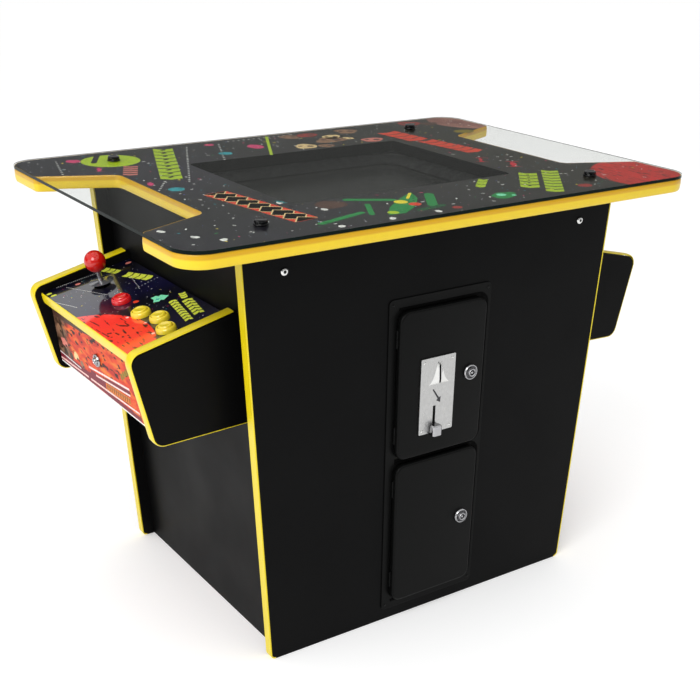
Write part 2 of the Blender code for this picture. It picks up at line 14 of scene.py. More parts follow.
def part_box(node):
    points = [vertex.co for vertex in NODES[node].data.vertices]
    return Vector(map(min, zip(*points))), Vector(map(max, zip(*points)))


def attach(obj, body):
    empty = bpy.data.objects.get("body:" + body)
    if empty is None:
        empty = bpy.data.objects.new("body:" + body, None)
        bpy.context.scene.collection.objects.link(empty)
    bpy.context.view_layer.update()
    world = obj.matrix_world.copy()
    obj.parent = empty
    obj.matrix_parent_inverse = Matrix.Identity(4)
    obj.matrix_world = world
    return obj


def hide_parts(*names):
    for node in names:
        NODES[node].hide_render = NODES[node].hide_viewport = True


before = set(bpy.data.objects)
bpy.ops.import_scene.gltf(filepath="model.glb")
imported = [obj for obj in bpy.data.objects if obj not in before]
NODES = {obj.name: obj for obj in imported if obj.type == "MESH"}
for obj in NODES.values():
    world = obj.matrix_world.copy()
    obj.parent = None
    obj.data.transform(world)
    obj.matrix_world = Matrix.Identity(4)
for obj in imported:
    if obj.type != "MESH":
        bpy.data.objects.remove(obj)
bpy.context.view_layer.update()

GAP = 0.0003
EDGE_T = 0.0025
FINE = 14                     # outline steps in each rounded corner

# Table
TABLE_HALF = (0.479, 0.339)
TABLE_R = 0.045
BAY_DEEP_X = 0.3555
BAY_HALF_DEEP = 0.150
BAY_HALF_MOUTH = 0.205
WINDOW_HALF = (0.2165, 0.172)
BOARD_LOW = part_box("tabletop")[0].z
BOARD_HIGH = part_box("tabletop")[1].z
GLASS_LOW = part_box("glass_top")[0].z
GLASS_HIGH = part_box("glass_top")[1].z

# Body and coin doors
PANEL_BOLT_X = 0.2905
PANEL_BOLT_Z = 0.670
FRAME_SCREW_X = 0.096
FRAME_SCREW_Z = (0.031, 0.587)
DOOR_R = 0.019
DOOR_RIM_R = 0.0042
FRAME_FRONT_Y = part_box("coin_door_frame")[0].y
DOOR_FRONT_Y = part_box("coin_door_upper")[0].y
PLATE_FACE_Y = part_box("coin_acceptor")[0].y
HINGE_STANDOFF = 0.0027
COIN_SLOT_U = 0.0025

# Control boxes, described on the -X side and turned half round for the +X side
TURN = {"left": Matrix.Identity(4), "right": Matrix.Rotation(math.pi, 4, "Z")}
BOX_HALF_Y = 0.2055
CHEEK_T = 0.020
CHEEK_R = 0.020
CHEEK_TOP_AT_BODY = 0.6034
CHEEK_TILT = math.radians(13.0)
CHEEK_FOOT_Z = 0.411
CHEEK_REAR_Z = 0.417
CHEEK_NOSE_X = 0.3958
CHEEK_LEAN = 0.215
END_FLOOR_X = 0.308
SPLAY = 0.0407
DECK_TILT = math.radians(12.0)
DECK_T = 0.019
DECK_HINGE = Vector((-0.3354, 0.0, 0.5873))
DECK_LENGTH = 0.1688
DECK_HALF_Y = BOX_HALF_Y - CHEEK_T - 3 * GAP
COVER_FOOT = Vector((-0.4785, 0.0, 0.429))
COVER_LEAN = 0.068
BOX_LOCK_Z = 0.4885

# Controls in deck axes: u toward the player, v to the player's right, w off the deck
STICK_UV = (0.082, -0.118)
BALL_R = 0.018
BALL_W = 0.042
BUTTONS = {"red": (0.089, -0.024), "yellow_1": (0.090, 0.053),
           "yellow_2": (0.078, 0.096), "yellow_3": (0.089, 0.141)}


# ---------------------------------------------------------------- outlines

def fillet(corners, closed=True, steps=FINE):
    """Turn (u, v, radius) corners into outline points, with an arc at each rounded corner."""
    points = []
    count = len(corners)
    for i, (u, v, radius) in enumerate(corners):
        here = Vector((u, v))
        end = not closed and i in (0, count - 1)
        if radius <= 0 or end:
            points.append(here)
            continue
        back = (Vector(corners[i - 1][:2]) - here).normalized()
        ahead = (Vector(corners[(i + 1) % count][:2]) - here).normalized()
        half = back.angle(ahead) / 2
        centre = here + (back + ahead).normalized() * radius / math.sin(half)
        start = here + back * radius / math.tan(half) - centre
        turn = start.angle_signed(here + ahead * radius / math.tan(half) - centre)
        for step in range(steps + 1):
            points.append(centre + Matrix.Rotation(-turn * step / steps, 2) @ start)
    return points


def offset(points, amount, closed=True):
    """Move an outline to its right (outward, if counter-clockwise), with mitred corners."""
    moved = []
    count = len(points)
    for i, here in enumerate(points):
        before = points[i - 1] if closed or i else here
        after = points[(i + 1) % count] if closed or i < count - 1 else here
        first = (here - before).normalized() if here != before else (after - here).normalized()
        second = (after - here).normalized() if here != after else first
        normal = Vector((first.y + second.y, -first.x - second.x)).normalized()
        moved.append(here + normal * amount / max(0.3, normal.dot(Vector((first.y, -first.x)))))
    return moved


def rectangle(u0, u1, v0, v1, radius=0.0):
    return [(u0, v0, radius), (u1, v0, radius), (u1, v1, radius), (u0, v1, radius)]


def disc(u, v, radius, sides=40, squash=1.0):
    turns = [2 * math.pi * k / sides for k in range(sides)]
    return [Vector((u + radius * math.cos(a), v + squash * radius * math.sin(a))) for a in turns]


def table_corners():
    """Counter-clockwise tabletop outline with a tapered bay in each short end."""
    half_x, half_y = TABLE_HALF
    left = [(-half_x, half_y, TABLE_R), (-half_x, BAY_HALF_MOUTH, 0.012),
            (-BAY_DEEP_X, BAY_HALF_DEEP, 0.018), (-BAY_DEEP_X, -BAY_HALF_DEEP, 0.018),
            (-half_x, -BAY_HALF_MOUTH, 0.012), (-half_x, -half_y, TABLE_R)]
    return left + [(-x, -y, radius) for x, y, radius in left]


def axes(origin, x_axis, z_axis):
    """Placement whose local X and Z point along two given directions."""
    across = Vector(x_axis).normalized()
    out = Vector(z_axis).normalized()
    turn = Matrix((across, out.cross(across), out)).transposed().to_4x4()
    return Matrix.Translation(origin) @ turn


# ---------------------------------------------------------------- meshes

def link(name, mesh, material, body, place=Matrix.Identity(4)):
    """Add a mesh as a piece that rides on a CAD body."""
    piece = bpy.data.objects.new(name, mesh)
    bpy.context.scene.collection.objects.link(piece)
    mesh.transform(place)
    mesh.materials.append(material)
    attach(piece, body)
    return piece


def smooth(mesh, angle=35.0):
    mesh.shade_smooth()
    mesh.set_sharp_from_angle(angle=math.radians(angle))
    return mesh


def from_shape(name, shape):
    mesh = bpy.data.meshes.new(name)
    bmesh.ops.recalc_face_normals(shape, faces=shape.faces)
    shape.to_mesh(mesh)
    shape.free()
    return mesh


def slab_mesh(name, outlines, low, high, plane="XY"):
    """Extrude an outline, with any holes, from low to high across its plane."""
    curve = bpy.data.curves.new(name, "CURVE")
    curve.dimensions = "2D"
    curve.fill_mode = "BOTH"
    curve.extrude = (high - low) / 2
    for outline in outlines:
        spline = curve.splines.new("POLY")
        spline.points.add(len(outline) - 1)
        for point, spot in zip(spline.points, outline):
            point.co = (spot[0], spot[1], 0.0, 1.0)
        spline.use_cyclic_u = True
    holder = bpy.data.objects.new(name, curve)
    bpy.context.scene.collection.objects.link(holder)
    bpy.context.view_layer.update()
    graph = bpy.context.evaluated_depsgraph_get()
    mesh = bpy.data.meshes.new_from_object(holder.evaluated_get(graph))
    bpy.data.objects.remove(holder)
    mesh.transform(Matrix.Translation((0, 0, (low + high) / 2)))
    if plane == "XZ":
        mesh.transform(Matrix(((1, 0, 0, 0), (0, 0, 1, 0), (0, 1, 0, 0), (0, 0, 0, 1))))
    shape = bmesh.new()
    shape.from_mesh(mesh)
    bmesh.ops.remove_doubles(shape, verts=shape.verts, dist=1e-6)
    bmesh.ops.dissolve_limit(shape, angle_limit=0.001, verts=shape.verts, edges=shape.edges)
    return from_shape(name, shape)


def lathe_mesh(name, profile, sides=56, ring=False):
    """Turn an (r, z) profile about local Z."""
    shape = bmesh.new()
    rings = []
    for radius, height in profile:
        around = disc(0, 0, radius, sides) if radius > 1e-6 else [Vector((0, 0))]
        rings.append([shape.verts.new((*spot, height)) for spot in around])
    pairs = list(zip(rings, rings[1:]))
    if ring:
        pairs.append((rings[-1], rings[0]))
    for upper, lower in pairs:
        for k in range(sides):
            j = k + 1
            corners = [upper[k % len(upper)], upper[j % len(upper)],
                       lower[j % len(lower)], lower[k % len(lower)]]
            corners = list(dict.fromkeys(corners))
            if len(corners) > 2:
                shape.faces.new(corners)
    return smooth(from_shape(name, shape))


def strip_mesh(name, path, profile, place, closed):
    """Sweep an (out, across) profile along a flat path; place carries (path u, path v, across)."""
    shape = bmesh.new()
    rows = []
    for out, across in profile:
        line = offset(path, out, closed)
        rows.append([shape.verts.new(place @ Vector((*spot, across))) for spot in line])
    steps = len(path) if closed else len(path) - 1
    for i in range(len(rows)):
        row, following = rows[i], rows[(i + 1) % len(rows)]
        for k in range(steps):
            j = (k + 1) % len(path)
            shape.faces.new((row[k], row[j], following[j], following[k]))
    if not closed:
        shape.faces.new([row[0] for row in rows])
        shape.faces.new([row[-1] for row in rows])
    return smooth(from_shape(name, shape), 50)


def crown(width, thick=EDGE_T):
    """Section of a T-moulding: flat back, softly crowned face, small radii at both lips."""
    face = [(0.0, 0.0), (thick * 0.35, 0.0), (thick * 0.62, 0.05), (thick * 0.80, 0.12),
            (thick * 0.93, 0.27), (thick, 0.5)]
    half = [(out, share * width) for out, share in face]
    return half + [(out, width - across) for out, across in reversed(half[:-1])]


def soften(piece, width, segments=3, angle=35.0):
    """Round a piece's sharp edges without touching its own mesh."""
    weld = piece.modifiers.new("weld", "WELD")
    weld.merge_threshold = 0.00002
    flat = piece.modifiers.new("flat", "DECIMATE")
    flat.decimate_type = "DISSOLVE"
    flat.angle_limit = math.radians(0.5)
    bevel = piece.modifiers.new("bevel", "BEVEL")
    bevel.width = width
    bevel.segments = segments
    bevel.limit_method = "ANGLE"
    bevel.angle_limit = math.radians(angle)
    bevel.harden_normals = True


def print_shapes(name, material, body, place, outlines, lift=0.0001):
    """Flat printed shapes: outlines in local (u, v), laid just off the surface at local z = lift."""
    shape = bmesh.new()
    for outline in outlines:
        spots = [shape.verts.new(place @ Vector((spot[0], spot[1], lift))) for spot in outline]
        shape.faces.new(spots)
    bmesh.ops.triangulate(shape, faces=shape.faces)
    normal = (place.to_3x3() @ Vector((0, 0, 1))).normalized()
    for face in shape.faces:
        face.normal_update()
        if face.normal.dot(normal) < 0:
            face.normal_flip()
    mesh = bpy.data.meshes.new(name)
    shape.to_mesh(mesh)
    shape.free()
    return link(name, mesh, material, body)


# ---------------------------------------------------------------- materials

def srgb(red, green, blue):
    """A screen colour, 0 to 255, as a linear colour."""
    shares = [value / 255 for value in (red, green, blue)]
    linear = [v / 12.92 if v < 0.04045 else ((v + 0.055) / 1.055) ** 2.4 for v in shares]
    return (*linear, 1.0)


class Paint:
    """A material being mixed: its node tree and its Principled shader."""

    def __init__(self, name, roughness=0.5, **shader_values):
        self.material = bpy.data.materials.new(name)
        self.material.use_nodes = True
        self.tree = self.material.node_tree
        self.shader = self.tree.nodes["Principled BSDF"]
        self.spot = self.add("TexCoord", output="Object")
        self.set("Roughness", roughness)
        for label, value in shader_values.items():
            self.set(label.replace("_", " ").title().replace("Ior", "IOR"), value)

    def put(self, target, value):
        if isinstance(value, bpy.types.NodeSocket):
            self.tree.links.new(value, target)
        else:
            target.default_value = value

    def set(self, label, value):
        self.put(self.shader.inputs[label], value)

    def add(self, kind, inputs=None, output=0, **settings):
        node = self.tree.nodes.new("ShaderNode" + kind)
        for label, value in settings.items():
            setattr(node, label, value)
        for label, value in (inputs or {}).items():
            self.put(node.inputs[label], value)
        return node.outputs[output]

    def noise(self, scale, detail=2.0, spot=None, distortion=0.0):
        return self.add("TexNoise", {"Vector": spot or self.spot, "Scale": scale, "Detail": detail,
                                     "Distortion": distortion})

    def mix(self, share, first, second):
        return self.add("Mix", {0: share, 6: first, 7: second}, output=2, data_type="RGBA")

    def span(self, value, low, high, out_low=0.0, out_high=1.0):
        return self.add("MapRange", {"Value": value, "From Min": low, "From Max": high,
                                     "To Min": out_low, "To Max": out_high})

    def math(self, operation, first, second=0.0):
        return self.add("Math", {0: first, 1: second}, operation=operation)

    def scaled(self, x, y, z):
        return self.add("Mapping", {"Vector": self.spot, "Scale": (x, y, z)})

    def bump(self, height, strength, distance):
        self.set("Normal", self.add("Bump", {"Height": height, "Strength": strength,
                                             "Distance": distance}))

    def flat_spot(self, place):
        """Coordinates (u, v, 0) on a plane set in the object by a placement."""
        rest = self.add("VectorMath", {0: self.spot, 1: place.translation}, operation="SUBTRACT")
        u = self.add("VectorMath", {0: rest, 1: place.col[0].to_3d()}, "Value", operation="DOT_PRODUCT")
        v = self.add("VectorMath", {0: rest, 1: place.col[1].to_3d()}, "Value", operation="DOT_PRODUCT")
        return self.add("CombineXYZ", {"X": u, "Y": v})

    def inside(self, spot, centre, radius, blur):
        """1 inside a disc on the plane, falling to 0 across the blur."""
        away = self.add("VectorMath", {0: spot, 1: (*centre, 0.0)}, "Value", operation="DISTANCE")
        return self.span(away, radius + blur, radius)

    def stars(self, spot, per_metre, size, share):
        """Round printed dots of mixed colours: the mask and the colour."""
        cells = self.tree.nodes.new("ShaderNodeTexVoronoi")
        cells.voronoi_dimensions = "2D"
        self.put(cells.inputs["Vector"], spot)
        cells.inputs["Scale"].default_value = per_metre
        parts = self.tree.nodes.new("ShaderNodeSeparateColor")
        self.put(parts.inputs[0], cells.outputs["Color"])
        limit = self.span(parts.outputs[0], 1 - share, 1.0, 0.0, size * per_metre)
        mask = self.math("LESS_THAN", cells.outputs["Distance"], limit)
        ramp = self.tree.nodes.new("ShaderNodeValToRGB")
        ramp.color_ramp.interpolation = "CONSTANT"
        tones = [(0.0, srgb(225, 225, 235)), (0.45, srgb(120, 200, 225)), (0.62, srgb(225, 210, 120)),
                 (0.75, srgb(215, 90, 150)), (0.88, srgb(110, 110, 220))]
        for place, tone in tones[2:]:
            ramp.color_ramp.elements.new(place)
        for element, (place, tone) in zip(ramp.color_ramp.elements, tones):
            element.position = place
            element.color = tone
        self.put(ramp.inputs[0], parts.outputs[1])
        return mask, ramp.outputs[0]

    def cracks(self, spot, per_metre, width):
        """Short broken dark lines, as drawn on a rocky planet."""
        bent = self.add("Mapping", {"Vector": spot, "Scale": (1.0, 0.45, 1.0)})
        wobble = self.add("TexNoise", {"Vector": bent, "Scale": per_metre * 1.7}, output=1)
        moved = self.add("VectorMath", {0: wobble, 1: (0.5 / per_metre,) * 3}, operation="MULTIPLY")
        warped = self.add("VectorMath", {0: bent, 1: moved}, operation="ADD")
        edge = self.add("TexVoronoi", {"Vector": warped, "Scale": per_metre}, feature="DISTANCE_TO_EDGE",
                        voronoi_dimensions="2D")
        line = self.span(edge, width, width * 0.5)
        broken = self.span(self.noise(per_metre * 2.2, 1.0, spot), 0.52, 0.56)
        return self.math("MULTIPLY", line, broken)


def laminate():
    paint = Paint("black_laminate", specular_ior_level=0.06)
    pebble = paint.noise(1500.0, 3.0)
    cloud = paint.noise(7.0, 4.0)
    paint.set("Base Color", paint.mix(pebble, (0.0016, 0.0016, 0.0018, 1), (0.0040, 0.0041, 0.0041, 1)))
    paint.set("Roughness", paint.span(cloud, 0.3, 0.7, 0.40, 0.52))
    paint.bump(pebble, 0.18, 0.0002)
    return paint.material


def edge_plastic(name, dark, light, shade_above=None):
    """Semi-gloss extruded edging. Given a height, it is a darker amber above it: painted shade under the
    glass edge along the moulding's top.
    """
    paint = Paint(name, specular_ior_level=0.4, coat_weight=0.15, coat_roughness=0.2)
    mottle = paint.noise(90.0, 4.0)
    drag = paint.noise(400.0, 2.0, paint.scaled(0.15, 0.15, 1.0))
    colour = paint.mix(mottle, srgb(*dark), srgb(*light))
    if shade_above:
        # Darker amber above the given height: painted shade under the glass edge.
        height = paint.add("SeparateXYZ", {0: paint.spot}, output=2)
        colour = paint.mix(paint.span(height, shade_above - 0.0012, shade_above + 0.0012), colour, srgb(206, 158, 8))
    paint.set("Base Color", colour)
    paint.set("Roughness", paint.span(mottle, 0.3, 0.7, 0.30, 0.42))
    paint.bump(drag, 0.12, 0.0002)
    return paint.material


def pane_glass():
    """Clear tempered sheet with a faint green tint, which lamps shine straight through."""
    paint = Paint("tempered_pane", 0.0)
    nodes = paint.tree.nodes
    nodes.remove(paint.shader)
    film = paint.noise(11.0, 4.0)
    tint = paint.mix(film, (0.965, 0.975, 0.965, 1), (0.985, 0.99, 0.98, 1))
    clear = paint.add("BsdfTransparent", {"Color": tint})
    bent = paint.add("BsdfRefraction", {"Color": tint, "Roughness": 0.0, "IOR": 1.45})
    shine = paint.add("BsdfGlossy", {"Color": (0.98, 1.0, 0.97, 1), "Roughness": 0.0})
    share = paint.math("MULTIPLY", paint.add("Fresnel", {"IOR": 1.45}), 0.38)
    surface = paint.add("MixShader", {0: share, 1: bent, 2: shine})
    for ray in ("Is Diffuse Ray", "Is Shadow Ray"):
        surface = paint.add("MixShader", {0: paint.add("LightPath", output=ray), 1: surface, 2: clear})
    paint.put(nodes["Material Output"].inputs["Surface"], surface)
    return paint.material


def edge_glass():
    paint = Paint("glass_edge", 0.12, specular_ior_level=0.06)
    depth = paint.noise(30.0, 3.0)
    paint.set("Base Color", paint.mix(depth, (0.001, 0.004, 0.003, 1), (0.003, 0.009, 0.007, 1)))
    return paint.material


def table_art():
    """Night-sky print with stars, a violet haze, and a cracked red planet at the right-hand tip."""
    paint = Paint("table_print", 0.34, specular_ior_level=0.10)
    spot = paint.flat_spot(Matrix.Identity(4))
    haze = paint.span(paint.noise(4.0, 5.0, spot), 0.42, 0.75)
    across = paint.span(paint.add("SeparateXYZ", {0: spot}), -0.35, 0.30)
    dark = paint.mix(across, (0.0085, 0.0080, 0.0105, 1), (0.0080, 0.0072, 0.0040, 1))
    glow = paint.mix(across, (0.0180, 0.0150, 0.0300, 1), (0.0150, 0.0110, 0.0060, 1))
    colour = paint.mix(haze, dark, glow)
    colour = planet(paint, colour, spot, (0.447, -0.298), 0.120, srgb(204, 22, 14), srgb(176, 30, 14), 26.0)
    colour = planet(paint, colour, spot, (0.505, 0.275), 0.105, srgb(168, 118, 104), srgb(104, 52, 48), 90.0)
    for per_metre, size in ((34.0, 0.0014), (75.0, 0.0008)):
        mask, tone = paint.stars(spot, per_metre, size, 0.35)
        colour = paint.mix(mask, colour, tone)
    paint.set("Base Color", colour)
    paint.bump(paint.noise(900.0, 2.0), 0.05, 0.0001)
    return paint.material


def planet(paint, behind, spot, centre, radius, near, far, per_metre):
    """Lay a cracked rocky disc over a colour."""
    shade = paint.span(paint.noise(16.0, 5.0, spot), 0.3, 0.7)
    ground = paint.mix(shade, near, far)
    layers = paint.add("Mapping", {"Vector": spot, "Scale": (2.4, 1.0, 1.0)})
    ground = paint.mix(paint.cracks(layers, per_metre, 0.10), ground, (0.075, 0.004, 0.004, 1))
    return paint.mix(paint.inside(spot, centre, radius, 0.0015), behind, ground)


def deck_art(side, place):
    """Glossy navy print with star dust and a cracked red planet at the player's edge."""
    paint = Paint(f"deck_print_{side}", 0.32, specular_ior_level=0.15, coat_weight=1.0, coat_roughness=0.045)
    spot = paint.flat_spot(place)
    haze = paint.span(paint.noise(9.0, 4.0, spot), 0.40, 0.72)
    colour = paint.mix(haze, (0.0010, 0.0011, 0.0040, 1), (0.0040, 0.0030, 0.034, 1))
    mask, tone = paint.stars(spot, 120.0, 0.0006, 0.4)
    colour = paint.mix(mask, colour, tone)
    colour = planet(paint, colour, spot, (0.244, 0.090), 0.145, srgb(255, 44, 40), srgb(252, 66, 34), 30.0)
    paint.set("Base Color", colour)
    return paint.material


def cover_art(side, place):
    """Printed sheet: streaky orange and red rock that breaks into brown rubble at the left."""
    paint = Paint(f"cover_print_{side}", 0.34, specular_ior_level=0.06, coat_weight=0.04, coat_roughness=0.1)
    spot = paint.flat_spot(place)
    u = paint.add("SeparateXYZ", {0: spot}, output=0)
    streaks = paint.add("Mapping", {"Vector": spot, "Rotation": (0, 0, math.radians(-16)),
                                    "Scale": (1.0, 3.0, 1.0)})
    rock = paint.noise(24.0, 7.0, streaks, 0.6)
    colour = paint.mix(paint.span(rock, 0.36, 0.50), srgb(178, 34, 16), srgb(214, 66, 22))
    colour = paint.mix(paint.span(rock, 0.52, 0.66), colour, srgb(218, 120, 36))
    colour = paint.mix(paint.cracks(streaks, 22.0, 0.14), colour, srgb(44, 10, 4))
    rubble = paint.span(paint.noise(60.0, 5.0, spot), 0.40, 0.62)
    rubble = paint.mix(rubble, srgb(40, 26, 16), srgb(128, 96, 76))
    left = paint.math("ADD", u, paint.math("MULTIPLY", rock, 0.09))
    colour = paint.mix(paint.span(left, -0.072, -0.100), colour, rubble)
    paint.set("Base Color", colour)
    return paint.material


def ink(name, colour, spread=0.12):
    """Printed ink: one colour with the slight unevenness of a screen print."""
    paint = Paint("ink_" + name, 0.34, specular_ior_level=0.06, coat_weight=0.05, coat_roughness=0.08)
    tone = srgb(*colour)
    paler = tuple(min(1.0, v * (1 + spread) + 0.004) for v in tone[:3]) + (1.0,)
    deeper = tuple(v * (1 - spread) for v in tone[:3]) + (1.0,)
    grain = paint.span(paint.noise(260.0, 3.0), 0.35, 0.65)
    paint.set("Base Color", paint.mix(grain, deeper, paler))
    return paint.material


def moulded(name, colour, roughness=0.16, coat=0.3, grain=0.03, specular=0.5):
    """Injection-moulded plastic: even colour, faint flow marks, tiny surface texture."""
    paint = Paint(name, roughness, specular_ior_level=specular, coat_weight=coat, coat_roughness=0.06)
    tone = srgb(*colour)
    flow = paint.noise(70.0, 3.0, distortion=0.8)
    paint.set("Base Color", paint.mix(flow, tuple(v * 0.93 for v in tone[:3]) + (1.0,), tone))
    paint.set("Roughness", paint.span(flow, 0.3, 0.7, roughness * 0.8, roughness * 1.25))
    paint.bump(paint.noise(1800.0, 2.0), grain, 0.0001)
    return paint.material


def powder_coat():
    """Black powder-coated steel with its orange-peel surface."""
    paint = Paint("powder_black", 0.34, specular_ior_level=0.08)
    peel = paint.noise(650.0, 3.0)
    paint.set("Base Color", paint.mix(peel, (0.0020, 0.0021, 0.0021, 1), (0.0042, 0.0044, 0.0042, 1)))
    paint.set("Roughness", paint.span(paint.noise(12.0, 3.0), 0.3, 0.7, 0.30, 0.42))
    paint.bump(peel, 0.16, 0.0003)
    return paint.material


def metal(name, colour, roughness, brushed=(1.0, 1.0, 1.0), pits=0.0):
    """Bare or plated metal with brushing along one axis, and pits where it is cast."""
    paint = Paint(name, roughness, metallic=1.0)
    lines = paint.noise(700.0, 3.0, paint.scaled(*brushed))
    blotch = paint.noise(160.0, 4.0)
    tone = srgb(*colour)
    paint.set("Base Color", paint.mix(blotch, tuple(v * 0.82 for v in tone[:3]) + (1.0,), tone))
    paint.set("Roughness", paint.span(lines, 0.3, 0.7, roughness * 0.8, roughness * 1.3))
    paint.bump(paint.math("ADD", lines, paint.math("MULTIPLY", blotch, pits)), 0.10, 0.0002)
    return paint.material


def screen_glass():
    paint = Paint("screen_glass", 0.18, specular_ior_level=0.3)
    dust = paint.noise(60.0, 5.0)
    paint.set("Base Color", paint.mix(dust, (0.0085, 0.0088, 0.0080, 1), (0.0100, 0.0102, 0.0095, 1)))
    paint.set("Roughness", paint.span(dust, 0.3, 0.7, 0.16, 0.20))
    return paint.material


LAMINATE = laminate()
YELLOW = edge_plastic("yellow_molding", (222, 198, 14), (230, 208, 22))
# The table moulding's darker amber top band is painted shade.
YELLOW_TOP_SHADED = edge_plastic("yellow_table_molding", (222, 190, 18), (232, 200, 26), BOARD_LOW + 0.0125)
PANE = pane_glass()
PANE_EDGE = edge_glass()
GLOSS_BLACK = moulded("gloss_black_plastic", (14, 14, 15), 0.12, 0.6)
CAP_BLACK = moulded("polished_black_cap", (5, 5, 6), 0.12, 0.25, 0.0, 0.25)
# Glossy black washer plastic; its grey base colour is painted reflection of the bright sky.
WASHER_PAINTED_REFLECTION = moulded("black_washer_painted_reflection", (84, 86, 90), 0.10, 0.8, 0.0)
SATIN_BLACK = moulded("satin_black_plastic", (17, 17, 18), 0.38, 0.0, 0.08)
POWDER = powder_coat()
PLATE_METAL = metal("cast_nickel", (192, 192, 191), 0.30, (1.0, 1.0, 0.12), 2.0)
CHROME = metal("chrome_trim", (228, 228, 226), 0.12)
LOCK_METAL = metal("lock_chrome", (178, 178, 180), 0.12)
# Dark steel used only as painted shade: on the raised arrow and in the locks' recesses.
SHADE_METAL = metal("steel_painted_shade", (70, 70, 72), 0.22)
SHAFT_METAL = metal("turned_steel", (190, 190, 192), 0.20, (1.0, 1.0, 6.0))
RED = moulded("red_plastic", (198, 20, 12), 0.13, 0.25)
RED_BUTTON = moulded("red_button_plastic", (222, 26, 34), 0.14, 0.5)
YELLOW_BUTTON = moulded("yellow_button_plastic", (240, 214, 52), 0.16, 0.5)
BUTTON_PAINT = {"red": RED_BUTTON, "yellow_1": YELLOW_BUTTON, "yellow_2": YELLOW_BUTTON,
                "yellow_3": YELLOW_BUTTON}
RUBBER = moulded("seal_rubber", (3, 3, 3), 0.7, 0.0, 0.08, 0.05)
SCREEN = screen_glass()
SHROUD = moulded("matte_black_shroud", (9, 9, 9), 0.6, 0.0, 0.10, 0.15)


def repaint(node, material, edge=0.0, segments=2):
    """Give a CAD node its finish, and soften its edges."""
    mesh = NODES[node].data
    for index in range(len(mesh.materials)):
        mesh.materials[index] = material
    if edge:
        soften(NODES[node], edge, segments)


# ---------------------------------------------------------------- table

def make_table():
    outline = fillet(table_corners())
    window = fillet(rectangle(-WINDOW_HALF[0], WINDOW_HALF[0], -WINDOW_HALF[1], WINDOW_HALF[1], 0.010))
    mesh = smooth(slab_mesh("table_board", [offset(outline, -EDGE_T - GAP), window], BOARD_LOW, BOARD_HIGH))
    board = link("table_board", mesh, table_art(), "cabinet")
    mesh.materials.append(LAMINATE)
    for face in mesh.polygons:
        face.material_index = 0 if face.normal.z > 0.5 else 1
    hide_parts("tabletop")
    lift = Matrix.Translation((0, 0, BOARD_LOW))
    mesh = strip_mesh("table_molding", offset(outline, -EDGE_T), crown(BOARD_HIGH - BOARD_LOW), lift, True)
    edging = link("table_molding", mesh, YELLOW_TOP_SHADED, "cabinet")
    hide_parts("tabletop_molding")
    make_glass()
    make_caps()
    make_screen()


def make_glass():
    half_x, half_y = TABLE_HALF
    outline = fillet(rectangle(-half_x, half_x, -half_y, half_y, TABLE_R), steps=24)
    holes = [disc(*centre_of(f"glass_cap_{spot}").xy, 0.0050, 24) for spot in CAP_SPOTS]
    mesh = smooth(slab_mesh("glass_pane", [outline, *holes], GLASS_LOW, GLASS_HIGH))
    pane = link("glass_pane", mesh, PANE, "cabinet")
    mesh.materials.append(PANE_EDGE)
    for face in mesh.polygons:
        face.material_index = 1 if abs(face.normal.z) < 0.5 else 0
    soften(pane, 0.0005, 2, 50)
    pane.modifiers["bevel"].material = 1
    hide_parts("glass_top")


CAP_SPOTS = ("front_left", "front_right", "back_left", "back_right")


def centre_of(node):
    low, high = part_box(node)
    return (low + high) / 2


def make_caps():
    """Black screw-down caps that hold the glass: flange, groove and domed top."""
    profile = [(0, 0.0086), (0.0060, 0.0085), (0.0084, 0.0081), (0.0097, 0.0070), (0.0101, 0.0052),
               (0.0101, 0.0033), (0.0099, 0.0029), (0.0099, 0.0025), (0.0109, 0.0022), (0.0113, 0.0014),
               (0.0112, GAP), (0.0047, GAP), (0.0047, -0.0047), (0, -0.0047)]
    for spot in CAP_SPOTS:
        name = f"glass_cap_{spot}"
        place = Matrix.Translation((*centre_of(name).xy, GLASS_HIGH))
        cap = link(f"holding_{name}", lathe_mesh(name, profile), CAP_BLACK, "cabinet", place)
        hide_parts(name)


def make_screen():
    repaint("monitor", SATIN_BLACK, 0.0008)
    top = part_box("monitor")[1].z
    floor_z = top - 0.014
    opening = fillet(rectangle(-0.1865, 0.1865, -0.139, 0.139, 0.036))
    mesh = smooth(slab_mesh("screen_surface", [offset(opening, 0.001)], floor_z + GAP, floor_z + 0.0015))
    link("screen_surface", mesh, SCREEN, "cabinet")
    shape = bmesh.new()
    rings = []
    for out, height in ((0.0288, top + 0.0005), (0.0284, top + 0.0012), (0.0262, top + 0.0010),
                        (0.0020, floor_z + 0.0040), (0.0004, floor_z + 0.0030), (0.0, floor_z + 0.0016)):
        rings.append([shape.verts.new((*spot, height)) for spot in offset(opening, out)])
    for upper, lower in zip(rings, rings[1:]):
        for k in range(len(upper)):
            shape.faces.new((upper[k - 1], upper[k], lower[k], lower[k - 1]))
    bezel = link("screen_bezel", smooth(from_shape("screen_bezel", shape), 60), SHROUD, "cabinet")
    wall = bezel.modifiers.new("wall", "SOLIDIFY")
    wall.thickness = 0.0010
    wall.offset = -1


# ---------------------------------------------------------------- body

def make_body():
    for name in ("side_panel_front", "side_panel_back", "end_panel_left", "end_panel_right", "base_panel"):
        repaint(name, LAMINATE, 0.0005)
    for face in ("front", "back"):
        for hand in ("left", "right"):
            repaint(f"side_molding_{face}_{hand}", YELLOW, 0.0010, 3)
    make_bolts()
    repaint("power_inlet", SATIN_BLACK, 0.0006)
    repaint("power_rocker", GLOSS_BLACK, 0.0004)
    make_inlet_pins()


